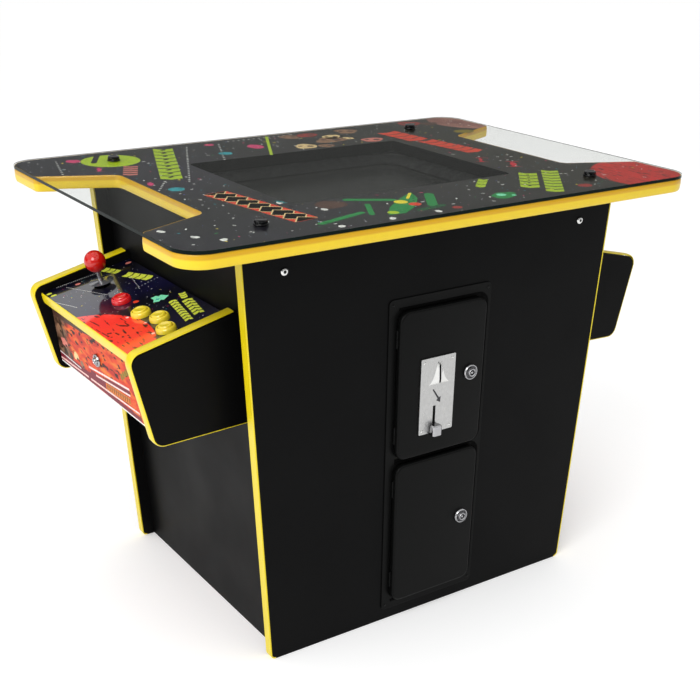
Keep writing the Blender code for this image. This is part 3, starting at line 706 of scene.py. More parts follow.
def make_bolts():
    """Button-head bolts with hexagon sockets at the top corners of both side panels."""
    head = [(0.0026, 0.0026), (0.0040, 0.0026), (0.0054, 0.0019), (0.0062, 0.0008), (0.0063, GAP), (0, GAP)]
    for face, facing in (("front", -1), ("back", 1)):
        surface = facing * max(abs(y) for y in (corner.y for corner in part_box(f"side_panel_{face}")))
        for hand, x in (("left", -PANEL_BOLT_X), ("right", PANEL_BOLT_X)):
            place = axes((x, surface, PANEL_BOLT_Z), (1, 0, 0), (0, facing, 0))
            name = f"panel_bolt_{face}_{hand}"
            link(name, lathe_mesh(name, head), CHROME, "cabinet", place)
            socket = slab_mesh(name + "_socket", [disc(0, 0, 0.0027, 6)], 0.0004, 0.0012)
            link(name + "_socket", socket, SATIN_BLACK, "cabinet", place)


def make_inlet_pins():
    centre = centre_of("power_inlet")
    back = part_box("power_inlet")[1].y
    for name, across, height, wide, tall in (("line", -0.007, -0.0105, 0.002, 0.005),
                                             ("neutral", 0.007, -0.0105, 0.002, 0.005),
                                             ("earth", 0.0, -0.0160, 0.005, 0.002)):
        u, v = centre.x + across, centre.z + height
        outline = fillet(rectangle(u - wide / 2, u + wide / 2, v - tall / 2, v + tall / 2, 0.0006), steps=3)
        pin = slab_mesh(f"inlet_pin_{name}", [outline], back - 0.0195, back - 0.0035, "XZ")
        link(f"inlet_pin_{name}", smooth(pin), SHAFT_METAL, "cabinet")


# ---------------------------------------------------------------- coin doors

def make_door(level):
    """Pressed steel door with a rolled rim, open at the back."""
    node = f"coin_door_{level}"
    low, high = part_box(node)
    outline = fillet(rectangle(low.x, high.x, low.z, high.z, DOOR_R))
    mesh = slab_mesh(node, [outline], low.y, high.y, "XZ")
    shape = bmesh.new()
    shape.from_mesh(mesh)
    rim = [edge for edge in shape.edges if edge.calc_face_angle(0.0) > 0.5
           and all(abs(vert.co.y - low.y) < 1e-6 for vert in edge.verts)]
    bmesh.ops.bevel(shape, geom=rim, offset=DOOR_RIM_R, segments=7, profile=0.5, affect="EDGES",
                    clamp_overlap=True)
    back = [face for face in shape.faces if face.normal.y > 0.9]
    bmesh.ops.delete(shape, geom=back, context="FACES_ONLY")
    shape.to_mesh(mesh)
    shape.free()
    door = link(f"pressed_door_{level}", smooth(mesh, 50), POWDER, f"{level}_door")
    wall = door.modifiers.new("wall", "SOLIDIFY")
    wall.thickness = 0.0016
    wall.offset = -1
    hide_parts(node)
    make_knuckles(level, low, high)
    low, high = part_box(f"coin_lock_{level}")
    place = axes(((low.x + high.x) / 2, DOOR_FRONT_Y, high.z - 0.014), (0, 0, -1), (0, -1, 0))
    make_lock(f"coin_lock_{level}", f"{level}_lock", place, 0.0183, 0.029, 0.014)


def make_knuckles(level, low, high):
    """Hinge barrel halves on the door's left edge and hinge line, one pair near each end."""
    barrel = [(0, 0.0), (0.0014, 0.0), (0.0019, 0.0005), (0.0019, 0.0145), (0.0014, 0.0150), (0, 0.0150)]
    for end, z in (("low", low.z + 0.030), ("high", high.z - 0.060)):
        for part, body, rise in (("fixed", "cabinet", 0.0), ("moving", f"{level}_door", 0.0155)):
            name = f"{level}_hinge_{end}_{part}"
            place = Matrix.Translation((low.x, FRAME_FRONT_Y - HINGE_STANDOFF, z + rise))
            link(name, lathe_mesh(name, barrel, 24), POWDER, body, place)


def make_seal_and_shade(level):
    """Flat black rubber strip on the frame plate round the three free edges of a door, wider than a seal: the
    outer band is painted shade beside the door's rolled rim.
    """
    low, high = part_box(f"coin_door_{level}")
    bands = []
    # Inner edge 0.5 mm off the door; outer edge 9.5 mm out on the right and 4.4 mm at top and bottom, the
    # extra width painted shade.
    for side, ends in ((0.0005, 0.0005), (0.0095, 0.0044)):
        corners = [(low.x + 0.004, low.z - ends, 0), (high.x + side, low.z - ends, DOOR_R),
                   (high.x + side, high.z + ends, DOOR_R), (low.x + 0.004, high.z + ends, 0)]
        bands.append(fillet(corners, closed=False))
    name = f"door_seal_and_shade_{level}"
    mesh = slab_mesh(name, [bands[1] + bands[0][::-1]], FRAME_FRONT_Y - 0.0012, FRAME_FRONT_Y - GAP, "XZ")
    link(name, smooth(mesh), RUBBER, "cabinet")


def make_lock(node, body, place, reach, cam_length, radius):
    """Tubular cam lock: rolled rim, dished face, round key barrel, then its body and cam."""
    r = radius
    face = [(0, 0.0068), (r * 0.13, 0.0068), (r * 0.16, 0.0062), (r * 0.17, 0.0040),
            (r * 0.33, 0.0040), (r * 0.34, 0.0070), (r * 0.38, 0.0076), (r * 0.46, 0.0076),
            (r * 0.50, 0.0068), (r * 0.51, 0.0022), (r * 0.54, 0.0016), (r * 0.72, 0.0016),
            (r * 0.76, 0.0032), (r * 0.82, 0.0044), (r * 0.90, 0.0044), (r * 0.98, 0.0030),
            (r, 0.0014), (r, GAP)]
    shank = [(0.0095, GAP), (0.0095, -reach), (0, -reach)]
    lock = link(f"face_{node}", lathe_mesh(node, face + shank), LOCK_METAL, body, place)
    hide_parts(node)
    # Dark flat rings on the floors of the dish and of the key recess: painted shade in those recesses.
    for label, inner, outer, height in (("dish", 0.55, 0.71, 0.0018), ("key_ring", 0.18, 0.32, 0.0042)):
        low = height - 0.0001
        ring = [(r * inner, height), (r * outer, height), (r * outer, low), (r * inner, low)]
        part = f"{node}_{label}"
        link(part, lathe_mesh(part, ring, 40, True), SHADE_METAL, body, place)
    bar = fillet(rectangle(-0.0060, cam_length, -0.0055, 0.0055, 0.0030), steps=4)
    cam = slab_mesh(node + "_cam", [bar], -reach - 0.0012, -reach + 0.0008)
    link(node + "_cam", smooth(cam), SHAFT_METAL, body, place)
    notch = fillet(rectangle(-0.0007, 0.0007, r * 0.30, r * 0.44))
    pin = slab_mesh(node + "_key_notch", [notch], 0.0060, 0.0078)
    link(node + "_key_notch", pin, SATIN_BLACK, body, place)


def make_coin_doors():
    repaint("coin_door_frame", POWDER, 0.0006)
    for level in ("upper", "lower"):
        make_seal_and_shade(level)
    make_door("upper")
    make_door("lower")
    repaint("coin_acceptor", PLATE_METAL, 0.0005)
    repaint("coin_return_lever", LOCK_METAL, 0.0006)
    make_plate_details()
    for hand, x in (("left", -FRAME_SCREW_X), ("right", FRAME_SCREW_X)):
        for end, z in zip(("low", "high"), FRAME_SCREW_Z):
            place = axes((x, FRAME_FRONT_Y, z), (1, 0, 0), (0, -1, 0))
            make_screw(f"frame_screw_{end}_{hand}", "cabinet", place, 0.0026, POWDER)


def make_screw(name, body, place, radius, material):
    """Small pan-head screw with a straight slot."""
    head = [(0, 0.34), (0.55, 0.32), (0.85, 0.20), (1.0, 0.04), (1.0, 0.0), (0, 0.0)]
    profile = [(share * radius, height * radius + GAP / 3) for share, height in head]
    link(name, lathe_mesh(name, profile, 28), material, body, place)
    cut = rectangle(-0.75 * radius, 0.75 * radius, -0.12 * radius, 0.12 * radius)
    mesh = slab_mesh(name + "_slot", [fillet(cut)], 0.20 * radius, 0.37 * radius)
    link(name + "_slot", mesh, SATIN_BLACK, body, place)


def fin_mesh(name, facing):
    """Cast fin that rises to the coin slot and flares out below it; facing is -1 or 1."""
    shape = bmesh.new()
    rows = []
    for v, ridge, out in ((0.1240, 0.0004, 0.0012), (0.1200, 0.0016, 0.0030), (0.1120, 0.0024, 0.0048),
                          (0.1030, 0.0030, 0.0074), (0.0950, 0.0034, 0.0108), (0.0895, 0.0032, 0.0148),
                          (0.0865, 0.0018, 0.0182), (0.0858, 0.0003, 0.0188)):
        inner = COIN_SLOT_U + facing * 0.0019
        crest = inner + facing * 0.0008
        foot = inner + facing * out
        bend = crest + facing * out * 0.35
        rows.append([shape.verts.new(spot) for spot in ((inner, v, 0.0), (inner, v, ridge), (crest, v, ridge),
                                                        (bend, v, ridge * 0.45), (foot, v, 0.0))])
    for upper, lower in zip(rows, rows[1:]):
        for k in range(len(upper) - 1):
            shape.faces.new((upper[k], upper[k + 1], lower[k + 1], lower[k]))
    shape.faces.new(rows[0])
    shape.faces.new(rows[-1])
    bmesh.ops.recalc_face_normals(shape, faces=shape.faces)
    return smooth(from_shape(name, shape), 50)


def make_plate_details():
    """Cast fins beside the coin slot, a raised arrow coloured dark as painted shade, corner screws, and black
    sheets deep in the two slots as painted shade.
    """
    low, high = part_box("coin_acceptor")
    middle = (low.x + high.x) / 2
    face = axes((middle, PLATE_FACE_Y, low.z), (1, 0, 0), (0, -1, 0))
    for hand, facing in (("left", -1), ("right", 1)):
        name = f"coin_entry_fin_{hand}"
        link(name, fin_mesh(name, facing), CHROME, "upper_door", face)
    shaft = [(-0.0100, 0.0770), (-0.0078, 0.0780), (0.0045, 0.0605), (0.0075, 0.0625), (0.0070, 0.0520),
             (-0.0015, 0.0565), (0.0015, 0.0590)]
    # The raised arrow is coloured dark steel as painted shade along its embossing.
    mesh = slab_mesh("plate_arrow", [fillet([(u, v, 0.0) for u, v in shaft])], -0.0002, 0.0005)
    arrow = link("plate_arrow", mesh, SHADE_METAL, "upper_door", face)
    soften(arrow, 0.0003, 2)
    half = (high.x - low.x) / 2 - 0.0065
    top = high.z - low.z - 0.0065
    for label, u, v in (("low_left", -half, 0.0065), ("low_right", half, 0.0065),
                        ("high_left", -half, top), ("high_right", half, top)):
        place = face @ Matrix.Translation((u, v, 0)) @ Matrix.Rotation(u * 40, 4, "Z")
        make_screw(f"plate_screw_{label}", "upper_door", place, 0.0027, CHROME)
    # Black sheets deep inside the coin slot and the lever slot: painted shade in the slots.
    slots = [fillet(rectangle(0.0010, 0.0040, high.z - low.z - 0.044, high.z - low.z - 0.014)),
             fillet(rectangle(-0.0074, -0.0021, 0.0070, 0.0478))]
    for name, outline, deep in zip(("coin_slot_shade", "lever_slot_shade"), slots, (-0.006, -0.010)):
        print_shapes(name, SATIN_BLACK, "upper_door", face, [outline], deep)


# ---------------------------------------------------------------- control boxes

def cheek_path():
    """Outer edge of a box side from its top rear, round the nose and foot, to its bottom rear."""
    rise = math.tan(CHEEK_TILT)
    top_rear = -(END_FLOOR_X + SPLAY * CHEEK_TOP_AT_BODY) - 0.009
    nose_z = (CHEEK_TOP_AT_BODY - rise * (CHEEK_NOSE_X + top_rear)) / (1 + rise * CHEEK_LEAN)
    nose_x = -(CHEEK_NOSE_X + CHEEK_LEAN * nose_z)
    foot_x = -(CHEEK_NOSE_X + CHEEK_LEAN * CHEEK_FOOT_Z)
    bottom_rear = -(END_FLOOR_X + SPLAY * CHEEK_REAR_Z) - GAP
    return fillet([(top_rear, CHEEK_TOP_AT_BODY, 0.0), (nose_x, nose_z, CHEEK_R),
                   (foot_x, CHEEK_FOOT_Z, CHEEK_R), (bottom_rear, CHEEK_REAR_Z, 0.0)], closed=False)


def deck_place(side):
    """Deck frame on its hinge line: local X toward the player, local Z off the deck."""
    out = (-math.cos(DECK_TILT), 0, -math.sin(DECK_TILT))
    up = (-math.sin(DECK_TILT), 0, math.cos(DECK_TILT))
    return TURN[side] @ axes(DECK_HINGE, out, up)


def cover_place(side):
    """Cover frame at its lower edge: local X to the player's right, local Y up the sheet."""
    return TURN[side] @ axes(COVER_FOOT, (0, -1, 0), (-1, 0, -COVER_LEAN))


def make_cheeks(side):
    turn = TURN[side]
    for label, low in (("front", -BOX_HALF_Y), ("back", BOX_HALF_Y - CHEEK_T)):
        hand = label if side == "left" else {"front": "back", "back": "front"}[label]
        repaint(f"box_cheek_{side}_{hand}", LAMINATE, 0.0005)
        place = turn @ Matrix(((1, 0, 0, 0), (0, 0, 1, low), (0, 1, 0, 0), (0, 0, 0, 1)))
        mesh = strip_mesh(f"box_molding_{side}_{hand}", offset(cheek_path(), -EDGE_T, False), crown(CHEEK_T),
                          place, False)
        link(mesh.name, mesh, YELLOW, "cabinet")


def make_deck(side):
    place = deck_place(side)
    body = f"{side}_deck"
    repaint(f"deck_{side}", deck_art(side, place), 0.0004)
    front = DECK_LENGTH - EDGE_T
    path = [Vector((-DECK_HALF_Y, -front)), Vector((DECK_HALF_Y, -front))]
    tip = place @ Matrix(((0, -1, 0, 0), (1, 0, 0, 0), (0, 0, 1, -DECK_T), (0, 0, 0, 1)))
    mesh = strip_mesh(f"deck_molding_{side}", path, crown(DECK_T), tip, False)
    link(mesh.name, mesh, YELLOW, body)


def make_joystick(side):
    place = deck_place(side) @ Matrix.Translation((*STICK_UV, 0))
    stick = f"{side}_stick"
    repaint(f"joystick_base_{side}", SATIN_BLACK)
    repaint(f"joystick_gimbal_{side}", SATIN_BLACK)
    repaint(f"joystick_shaft_{side}", SHAFT_METAL)
    washer = [(0.0046, 0.0090), (0.0062, 0.0086), (0.0205, 0.0080), (0.0213, 0.0077), (0.0213, 0.0072),
              (0.0046, 0.0072)]
    # The washer's grey is painted reflection on black plastic.
    disc_mesh = lathe_mesh("washer", washer, ring=True)
    link(f"dust_washer_{side}", disc_mesh, WASHER_PAINTED_REFLECTION, stick, place)
    turns = [math.radians(a) for a in range(90, -76, -5)]
    profile = [(BALL_R * math.cos(a), BALL_R * math.sin(a)) for a in turns]
    profile[0] = (0.0, BALL_R)
    profile += [(0.0052, -0.0176), (0.0047, -0.0170), (0.0, -0.0170)]
    top = place @ Matrix.Translation((0, 0, BALL_W))
    ball = link(f"ball_knob_{side}", lathe_mesh("ball", profile, 72), RED, stick, top)
    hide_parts(f"joystick_ball_{side}")


def make_buttons(side):
    """Each button: a domed collar round a plunger with a softly dished top."""
    collar = [(0.0123, 0.0070), (0.0126, 0.0078), (0.0134, 0.0081), (0.0147, 0.0075), (0.0158, 0.0058),
              (0.0164, 0.0032), (0.0165, GAP), (0.0138, GAP), (0.0138, -0.030), (0.0123, -0.030)]
    plunger = [(0, 0.0096), (0.0040, 0.0097), (0.0066, 0.0100), (0.0086, 0.0104), (0.0102, 0.0102),
               (0.0112, 0.0092), (0.0117, 0.0078), (0.0118, 0.0050), (0.0118, -0.018), (0, -0.018)]
    for label, spot in BUTTONS.items():
        place = deck_place(side) @ Matrix.Translation((*spot, 0))
        ring = link(f"button_collar_{label}_{side}", lathe_mesh("collar", collar, ring=True),
                    BUTTON_PAINT[label], f"{side}_deck", place)
        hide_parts(f"button_body_{label}_{side}")
        top = link(f"button_top_{label}_{side}", lathe_mesh("plunger", plunger), BUTTON_PAINT[label],
                   f"{side}_{label}_button", place)
        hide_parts(f"button_plunger_{label}_{side}")


def make_cover(side):
    place = cover_place(side)
    repaint(f"box_cover_{side}", cover_art(side, place), 0.0005)
    up = (BOX_LOCK_Z - COVER_FOOT.z) * math.hypot(1, COVER_LEAN)
    spot = place @ Matrix.Translation((0, up, 0))
    make_lock(f"box_lock_{side}", f"{side}_box_lock", spot, 0.018, 0.026, 0.011)


# ---------------------------------------------------------------- printed shapes

def bar(u, v, length, width, angle, radius=None):
    """Straight printed dash with rounded ends, its angle in degrees from u."""
    half, side = length / 2, width / 2
    outline = fillet(rectangle(-half, half, -side, side, side * 0.98 if radius is None else radius), steps=3)
    turn = Matrix.Rotation(math.radians(angle), 2)
    return [turn @ spot + Vector((u, v)) for spot in outline]


def along(start, end, share, aside=0.0):
    """Point a share of the way from start to end, moved aside to the right of travel."""
    first, last = Vector(start), Vector(end)
    way = (last - first).normalized()
    return first.lerp(last, share) + Vector((way.y, -way.x)) * aside


def chevrons(start, end, width, count, weight=0.55, lean=0.5):
    """Row of chevrons pointing from start to end."""
    shapes = []
    step = 1 / count
    for k in range(count):
        near, far = k * step, (k + weight) * step
        tip = lean * step
        half = width / 2
        shapes.append([along(start, end, near, -half), along(start, end, near + tip, 0),
                       along(start, end, near, half), along(start, end, far, half),
                       along(start, end, far + tip, 0), along(start, end, far, -half)])
    return shapes


def blob(u, v, radius, seed, squash=1.0, rough=0.18, sides=26):
    """Irregular rock outline."""
    dice = random.Random(seed)
    waves = [(k, dice.uniform(-1, 1), dice.uniform(0, 6.3)) for k in (2, 3, 5)]
    points = []
    for k in range(sides):
        a = 2 * math.pi * k / sides
        swell = 1 + rough * sum(size * math.sin(n * a + turn) / n for n, size, turn in waves)
        points.append(Vector((u + radius * swell * math.cos(a), v + squash * radius * swell * math.sin(a))))
    return points


def placed(points, u, v, size, angle):
    """Scale, turn and move an outline drawn in unit coordinates."""
    turn = Matrix.Rotation(math.radians(angle), 2)
    return [turn @ (Vector(point) * size) + Vector((u, v)) for point in points]


def dashes(seed, count, area, keep, length, width, angles):
    """Scattered dashes inside a rectangle, only where keep(u, v) holds."""
    dice = random.Random(seed)
    shapes = []
    while len(shapes) < count:
        u = dice.uniform(area[0], area[1])
        v = dice.uniform(area[2], area[3])
        size = dice.uniform(*length)
        turn = dice.uniform(*angles)
        if keep(u, v):
            shapes.append(bar(u, v, size, width, turn))
    return shapes


INKS = {"lime": (168, 196, 30), "orange": (214, 62, 34), "cream": (226, 196, 140), "green": (24, 130, 62),
        "deep_green": (14, 84, 44), "white": (226, 226, 222), "teal": (40, 150, 160), "pink": (206, 60, 110),
        "tan": (140, 104, 78), "umber": (78, 52, 42), "brick": (150, 44, 38), "olive": (128, 112, 22),
        "mint": (126, 222, 178), "yellow": (232, 214, 50), "maroon": (118, 28, 44), "rose": (206, 120, 108),
        "crimson": (196, 30, 48), "night": (8, 8, 10), "canary": (214, 222, 74), "amber": (202, 112, 26),
        "blush": (236, 190, 182)}
INK = {name: ink(name, colour) for name, colour in INKS.items()}


class Print:
    """Printed outlines gathered by ink and level, then laid on one surface."""

    def __init__(self):
        self.layers = {}

    def lay(self, colour, *outlines, level=0):
        self.layers.setdefault((level, colour), []).extend(outlines)

    def apply(self, prefix, suffix, body, place, step):
        for (level, colour), outlines in self.layers.items():
            name = f"{prefix}_{colour}_{level}{suffix}"
            print_shapes(name, INK[colour], body, place, outlines, 0.00008 + step * level)


def on_board(u, v):
    """True well inside the printed board, clear of the bays and the window."""
    inner_bay = abs(u) > BAY_DEEP_X - 0.012 and abs(v) < BAY_HALF_MOUTH + 0.012
    window = abs(u) < WINDOW_HALF[0] + 0.010 and abs(v) < WINDOW_HALF[1] + 0.010
    return abs(u) < 0.455 and abs(v) < 0.322 and not inner_bay and not window


def print_table():
    """Space-themed print under the glass: discs, bars, chevrons, rocks and star dust."""
    top = Matrix.Translation((0, 0, BOARD_HIGH))
    sheet = Print()
    lay = sheet.lay
    lay("lime", disc(-0.321, 0.262, 0.051))
    lay("night", bar(-0.336, 0.292, 0.080, 0.010, 62), level=1)
    lay("lime", *chevrons((-0.197, 0.315), (-0.2945, 0.076), 0.036, 9, 0.80, 0.25))
    lay("night", *[bar(*along((-0.197, 0.315), (-0.2945, 0.076), (k + 0.42) / 9), 0.012, 0.006, 22)
                   for k in range(9)], level=1)
    lay("orange", bar(-0.2625, -0.1535, 0.222, 0.044, -80.7, 0.004))
    lay("cream", *chevrons((-0.2803, -0.045), (-0.2446, -0.262), 0.042, 8, 0.11, 0.75), level=1)
    lay("cream", *chevrons((-0.2446, -0.262), (-0.2803, -0.045), 0.042, 8, 0.11, 0.75), level=2)
    lay("orange", *chevrons((0.2554, 0.251), (0.2640, 0.150), 0.046, 4, 0.86, 0.3),
        *chevrons((0.2700, 0.142), (0.2876, 0.008), 0.040, 6, 0.86, 0.3))
    lay("lime", bar(-0.0135, 0.247, 0.0055, 0.178, -27, 0.001))
    lay("green", [Vector(p) for p in ((-0.128, -0.300), (-0.100, -0.262), (-0.055, -0.224), (-0.012, -0.196),
                                      (-0.028, -0.236), (-0.062, -0.276), (-0.098, -0.302))],
        bar(-0.0150, -0.252, 0.085, 0.016, 58))
    lay("green", bar(-0.197, -0.279, 0.100, 0.012, 16), bar(-0.098, -0.206, 0.084, 0.014, -31),
        bar(-0.132, -0.256, 0.070, 0.009, 62))
    lay("deep_green", bar(-0.045, -0.294, 0.060, 0.012, 8))
    lay("lime", disc(-0.113, -0.290, 0.0090, 16), level=1)
    lay("yellow", disc(-0.0646, -0.2417, 0.0110, 18), bar(-0.030, -0.215, 0.040, 0.005, 48), level=1)
    lay("orange", disc(-0.054, -0.264, 0.0100, 18), level=1)
    lay("green", blob(0.102, -0.288, 0.023, 15, 0.8, 0.30))
    lay("mint", disc(0.100, -0.284, 0.0080, 16), disc(0.116, -0.296, 0.0040, 12), level=1)
    lay("lime", *chevrons((0.245, -0.181), (0.173, -0.270), 0.031, 5, 0.78, 0.25))
    lay("lime", *chevrons((0.291, -0.185), (0.188, -0.313), 0.029, 8, 0.74, 0.25))
    spots = [along((0.240, -0.187), (0.176, -0.266), (k + 0.5) / 5) for k in range(5)]
    lay("night", *[disc(*spot, 0.0028, 10) for spot in spots], level=1)
    lay("lime", *chevrons((0.149, -0.180), (0.106, -0.224), 0.016, 3, 0.86, 0.3))
    lay("umber", blob(-0.166, -0.202, 0.026, 9, 0.9))
    lay("brick", blob(0.263, -0.302, 0.013, 5, 0.8), blob(-0.011, -0.313, 0.009, 6, 0.8))
    lay("crimson", bar(0.272, -0.113, 0.013, 0.044, -35), bar(0.246, -0.055, 0.007, 0.036, -32))
    lay("teal", blob(-0.3196, 0.008, 0.014, 6, 0.9), blob(-0.118, 0.221, 0.013, 7, 0.9),
        bar(-0.222, -0.148, 0.008, 0.020, 20))
    lay("pink", blob(-0.378, 0.290, 0.012, 8, 1.1), blob(-0.040, 0.250, 0.014, 12, 1.4),
        bar(-0.339, 0.062, 0.011, 0.026, -20), bar(-0.366, 0.205, 0.009, 0.030, -20),
        blob(-0.107, 0.306, 0.009, 13))
    lay("rose", *chevrons((-0.309, 0.205), (-0.341, 0.135), 0.024, 5, 0.55, 0.25))
    rocks = ((0.062, 0.300, 0.019, "tan"), (0.102, 0.300, 0.020, "brick"), (0.116, 0.236, 0.029, "tan"),
             (0.134, 0.262, 0.020, "cream"), (0.042, 0.206, 0.022, "cream"), (0.078, 0.192, 0.015, "tan"),
             (0.187, 0.199, 0.021, "rose"), (0.191, 0.297, 0.023, "tan"), (0.155, 0.235, 0.011, "cream"),
             (0.352, 0.306, 0.024, "brick"), (0.388, 0.286, 0.018, "umber"))
    for k, (u, v, radius, tone) in enumerate(rocks):
        lay(tone, blob(u, v, radius, 20 + k, 0.9, 0.34))
        lay("umber", disc(u + radius * 0.35, v - radius * 0.15, radius * 0.30, 14),
            disc(u - radius * 0.40, v + radius * 0.25, radius * 0.20, 12), level=1)
    lay("olive", blob(0.397, 0.182, 0.022, 31, 0.7))
    for start, end, count in (((-0.154, 0.304), (-0.276, 0.050), 21), ((-0.090, 0.300), (-0.145, 0.175), 10),
                              ((-0.405, 0.300), (-0.432, 0.200), 8), ((-0.312, 0.066), (-0.346, 0.015), 6),
                              ((-0.060, 0.318), (0.060, 0.318), 12)):
        lay("white", *[disc(*along(start, end, k / (count - 1)), 0.0021, 8) for k in range(count)])
    for k, (u, v) in enumerate(((-0.190, -0.222), (-0.226, -0.152), (-0.134, -0.318), (-0.050, -0.318),
                                (-0.222, -0.318), (-0.425, -0.264), (-0.452, -0.214), (-0.398, -0.296))):
        lay("white", blob(u, v, 0.0052, 50 + k, 1.3, 0.4))
    specks = (("white", 130), ("teal", 22), ("pink", 22), ("yellow", 20), ("green", 18))
    for seed, (tone, count) in enumerate(specks):
        lay(tone, *dashes(40 + seed, count, (-0.455, 0.455, -0.322, 0.322), on_board, (0.003, 0.007), 0.0026,
                          (0, 180)))
    sheet.apply("table_print", "", "cabinet", top, 0.00007)


STAR = [(math.cos(math.pi * k / 4) * (1.0 if k % 2 == 0 else 0.42),
         math.sin(math.pi * k / 4) * (1.0 if k % 2 == 0 else 0.42)) for k in range(8)]


def clear_of_controls(u, v):
    """True on open deck print, away from holes, washer, edges and planet."""
    controls = [(*STICK_UV, 0.024)] + [(*spot, 0.020) for spot in BUTTONS.values()] + [(0.244, 0.090, 0.149)]
    return all(math.hypot(u - cu, v - cv) > reach for cu, cv, reach in controls)


def print_deck(side):
    place = deck_place(side)
    sheet = Print()
    lay = sheet.lay
    lay("canary", *chevrons((0.052, -0.182), (0.039, -0.144), 0.015, 3, 0.80, 0.2),
        *chevrons((0.036, -0.126), (0.014, -0.068), 0.018, 4, 0.84, 0.2))
    lay("canary", *chevrons((0.008, 0.034), (0.014, 0.058), 0.011, 3, 0.80, 0.3),
        *chevrons((0.015, 0.067), (0.027, 0.135), 0.017, 6, 0.72, -0.3),
        *chevrons((0.033, 0.050), (0.049, 0.143), 0.013, 9, 0.72, -0.3))
    for start, end, count, length, width in (((0.015, 0.067), (0.027, 0.135), 6, 0.0060, 0.0022),
                                             ((0.033, 0.050), (0.049, 0.143), 9, 0.0044, 0.0018)):
        spots = [along(start, end, (k + 0.45) / count) for k in range(count)]
        lay("night", *[bar(*spot, length, width, 40) for spot in spots], level=1)
    capsule = ((0.56, 0.0), (0.18, 0.42), (0.02, 0.28), (-0.10, 0.46), (-0.45, 0.36), (-0.36, 0.10),
               (-0.36, -0.10), (-0.45, -0.36), (-0.10, -0.46), (0.02, -0.28), (0.18, -0.42))
    lay("mint", placed(capsule, 0.042, 0.021, 0.028, 166))
    lay("teal", placed(STAR, 0.046, 0.022, 0.0045, 10), level=1)
    lay("rose", blob(0.010, -0.168, 0.0055, 3, 0.8), blob(0.109, -0.162, 0.0050, 4, 0.8))
    lay("orange", blob(0.074, -0.001, 0.0050, 5))
    lay("canary", blob(0.160, -0.168, 0.0050, 7, 0.7), blob(0.157, -0.154, 0.0052, 8, 0.7))
    lay("blush", placed(STAR, 0.099, 0.087, 0.0036, 0), blob(0.110, 0.043, 0.0028, 11),
        blob(0.108, 0.133, 0.0030, 12))
    for start, end, count in (((0.128, -0.166), (0.094, -0.072), 30), ((0.166, -0.122), (0.150, -0.070), 22),
                              ((0.034, -0.106), (0.046, -0.046), 11), ((0.006, -0.060), (0.050, -0.052), 8),
                              ((0.062, -0.176), (0.140, -0.182), 24)):
        path = [along(start, end, k / (count - 1)) for k in range(count)]
        lay("white", *[disc(*spot, 0.0009, 8) for spot in path if clear_of_controls(*spot)])
    for seed, (tone, count) in enumerate((("white", 50), ("teal", 10), ("yellow", 8), ("pink", 8))):
        lay(tone, *dashes(60 + seed, count, (0.008, 0.150, -0.178, 0.178), clear_of_controls, (0.0012, 0.003),
                          0.0012, (0, 180)))
    sheet.apply("deck_print", f"_{side}", f"{side}_deck", place, 0.00006)


def print_cover(side):
    """Speed lines that climb along the foot of the printed sheet, with a studded bar between them, and umber
    bands along the top that are painted shadow under the deck's front edge.
    """
    place = cover_place(side)
    half = DECK_HALF_Y - 0.001
    sheet = Print()
    lay = sheet.lay
    def stripe(start, end, width):
        """Stripe of one width whose lower edge runs between two points."""
        low = [Vector(start), Vector(end)]
        return [low[0], low[1], low[1] + Vector((0, width)), low[0] + Vector((0, width))]

    for colour, level, start, end, width in (
            ("maroon", 0, (-half, 0.0035), (-0.045, 0.0045), 0.0170),
            ("maroon", 0, (-0.045, 0.0045), (0.016, 0.0060), 0.0250),
            ("maroon", 0, (0.016, 0.0250), (0.118, 0.0380), 0.0100),
            ("maroon", 0, (0.016, 0.0045), (0.150, 0.0050), 0.0070),
            ("blush", 1, (-half, 0.0060), (-0.060, 0.0090), 0.0032),
            ("blush", 1, (-0.050, 0.0090), (0.146, 0.0160), 0.0034),
            ("blush", 1, (-0.022, 0.0245), (0.118, 0.0365), 0.0034),
            ("blush", 1, (-0.050, 0.0305), (0.118, 0.0465), 0.0040),
            ("white", 2, (-half, 0.0180), (-0.090, 0.0150), 0.0020),
            ("white", 2, (-half, 0.0010), (half, 0.0020), 0.0026),
            ("white", 2, (-0.012, 0.0260), (0.116, 0.0380), 0.0012),
            ("white", 2, (-0.040, 0.0325), (0.116, 0.0480), 0.0016),
            ("white", 2, (0.020, 0.0120), (0.140, 0.0172), 0.0012),
            ("amber", 1, (0.018, 0.0145), (0.116, 0.0215), 0.0125),
            # Umber bands along the top left: painted shadow cast by the deck's front edge.
            ("umber", 0, (-half, 0.0840), (-0.060, 0.0900), 0.0180),
            ("umber", 0, (-0.060, 0.0900), (0.020, 0.0990), 0.0050)):
        lay(colour, stripe(start, end, width), level=level)
    slots = [along((0.024, 0.0210), (0.112, 0.0275), k / 10) for k in range(11)]
    lay("night", *[bar(*spot, 0.0018, 0.0095, -12, 0.0004) for spot in slots], level=2)
    studs = [along((0.028, 0.0235), (0.108, 0.0292), k / 9) for k in range(10)]
    lay("tan", *[bar(*spot, 0.0040, 0.0032, -12) for spot in studs], level=2)
    rubble = ((-0.152, 0.044, 0.0120, "rose"), (-0.166, 0.066, 0.0105, "tan"),
              (-0.104, 0.034, 0.0100, "cream"), (-0.128, 0.027, 0.0085, "umber"),
              (-0.080, 0.026, 0.0080, "tan"), (-0.172, 0.034, 0.0080, "umber"))
    for k, (v, h, radius, tone) in enumerate(rubble):
        lay(tone, blob(v, h, radius, 70 + k, 0.75, 0.4))
        lay("night", blob(v + radius * 0.5, h - radius * 0.4, radius * 0.35, 80 + k, 0.6), level=1)
    lay("olive", *[blob(0.094 + 0.008 * k, 0.0620 + 0.005 * k, 0.0045, 90 + k, 1.2, 0.4) for k in range(4)])
    sheet.apply("cover_print", f"_{side}", "cabinet", place, 0.00006)


# ---------------------------------------------------------------- camera, light and floor

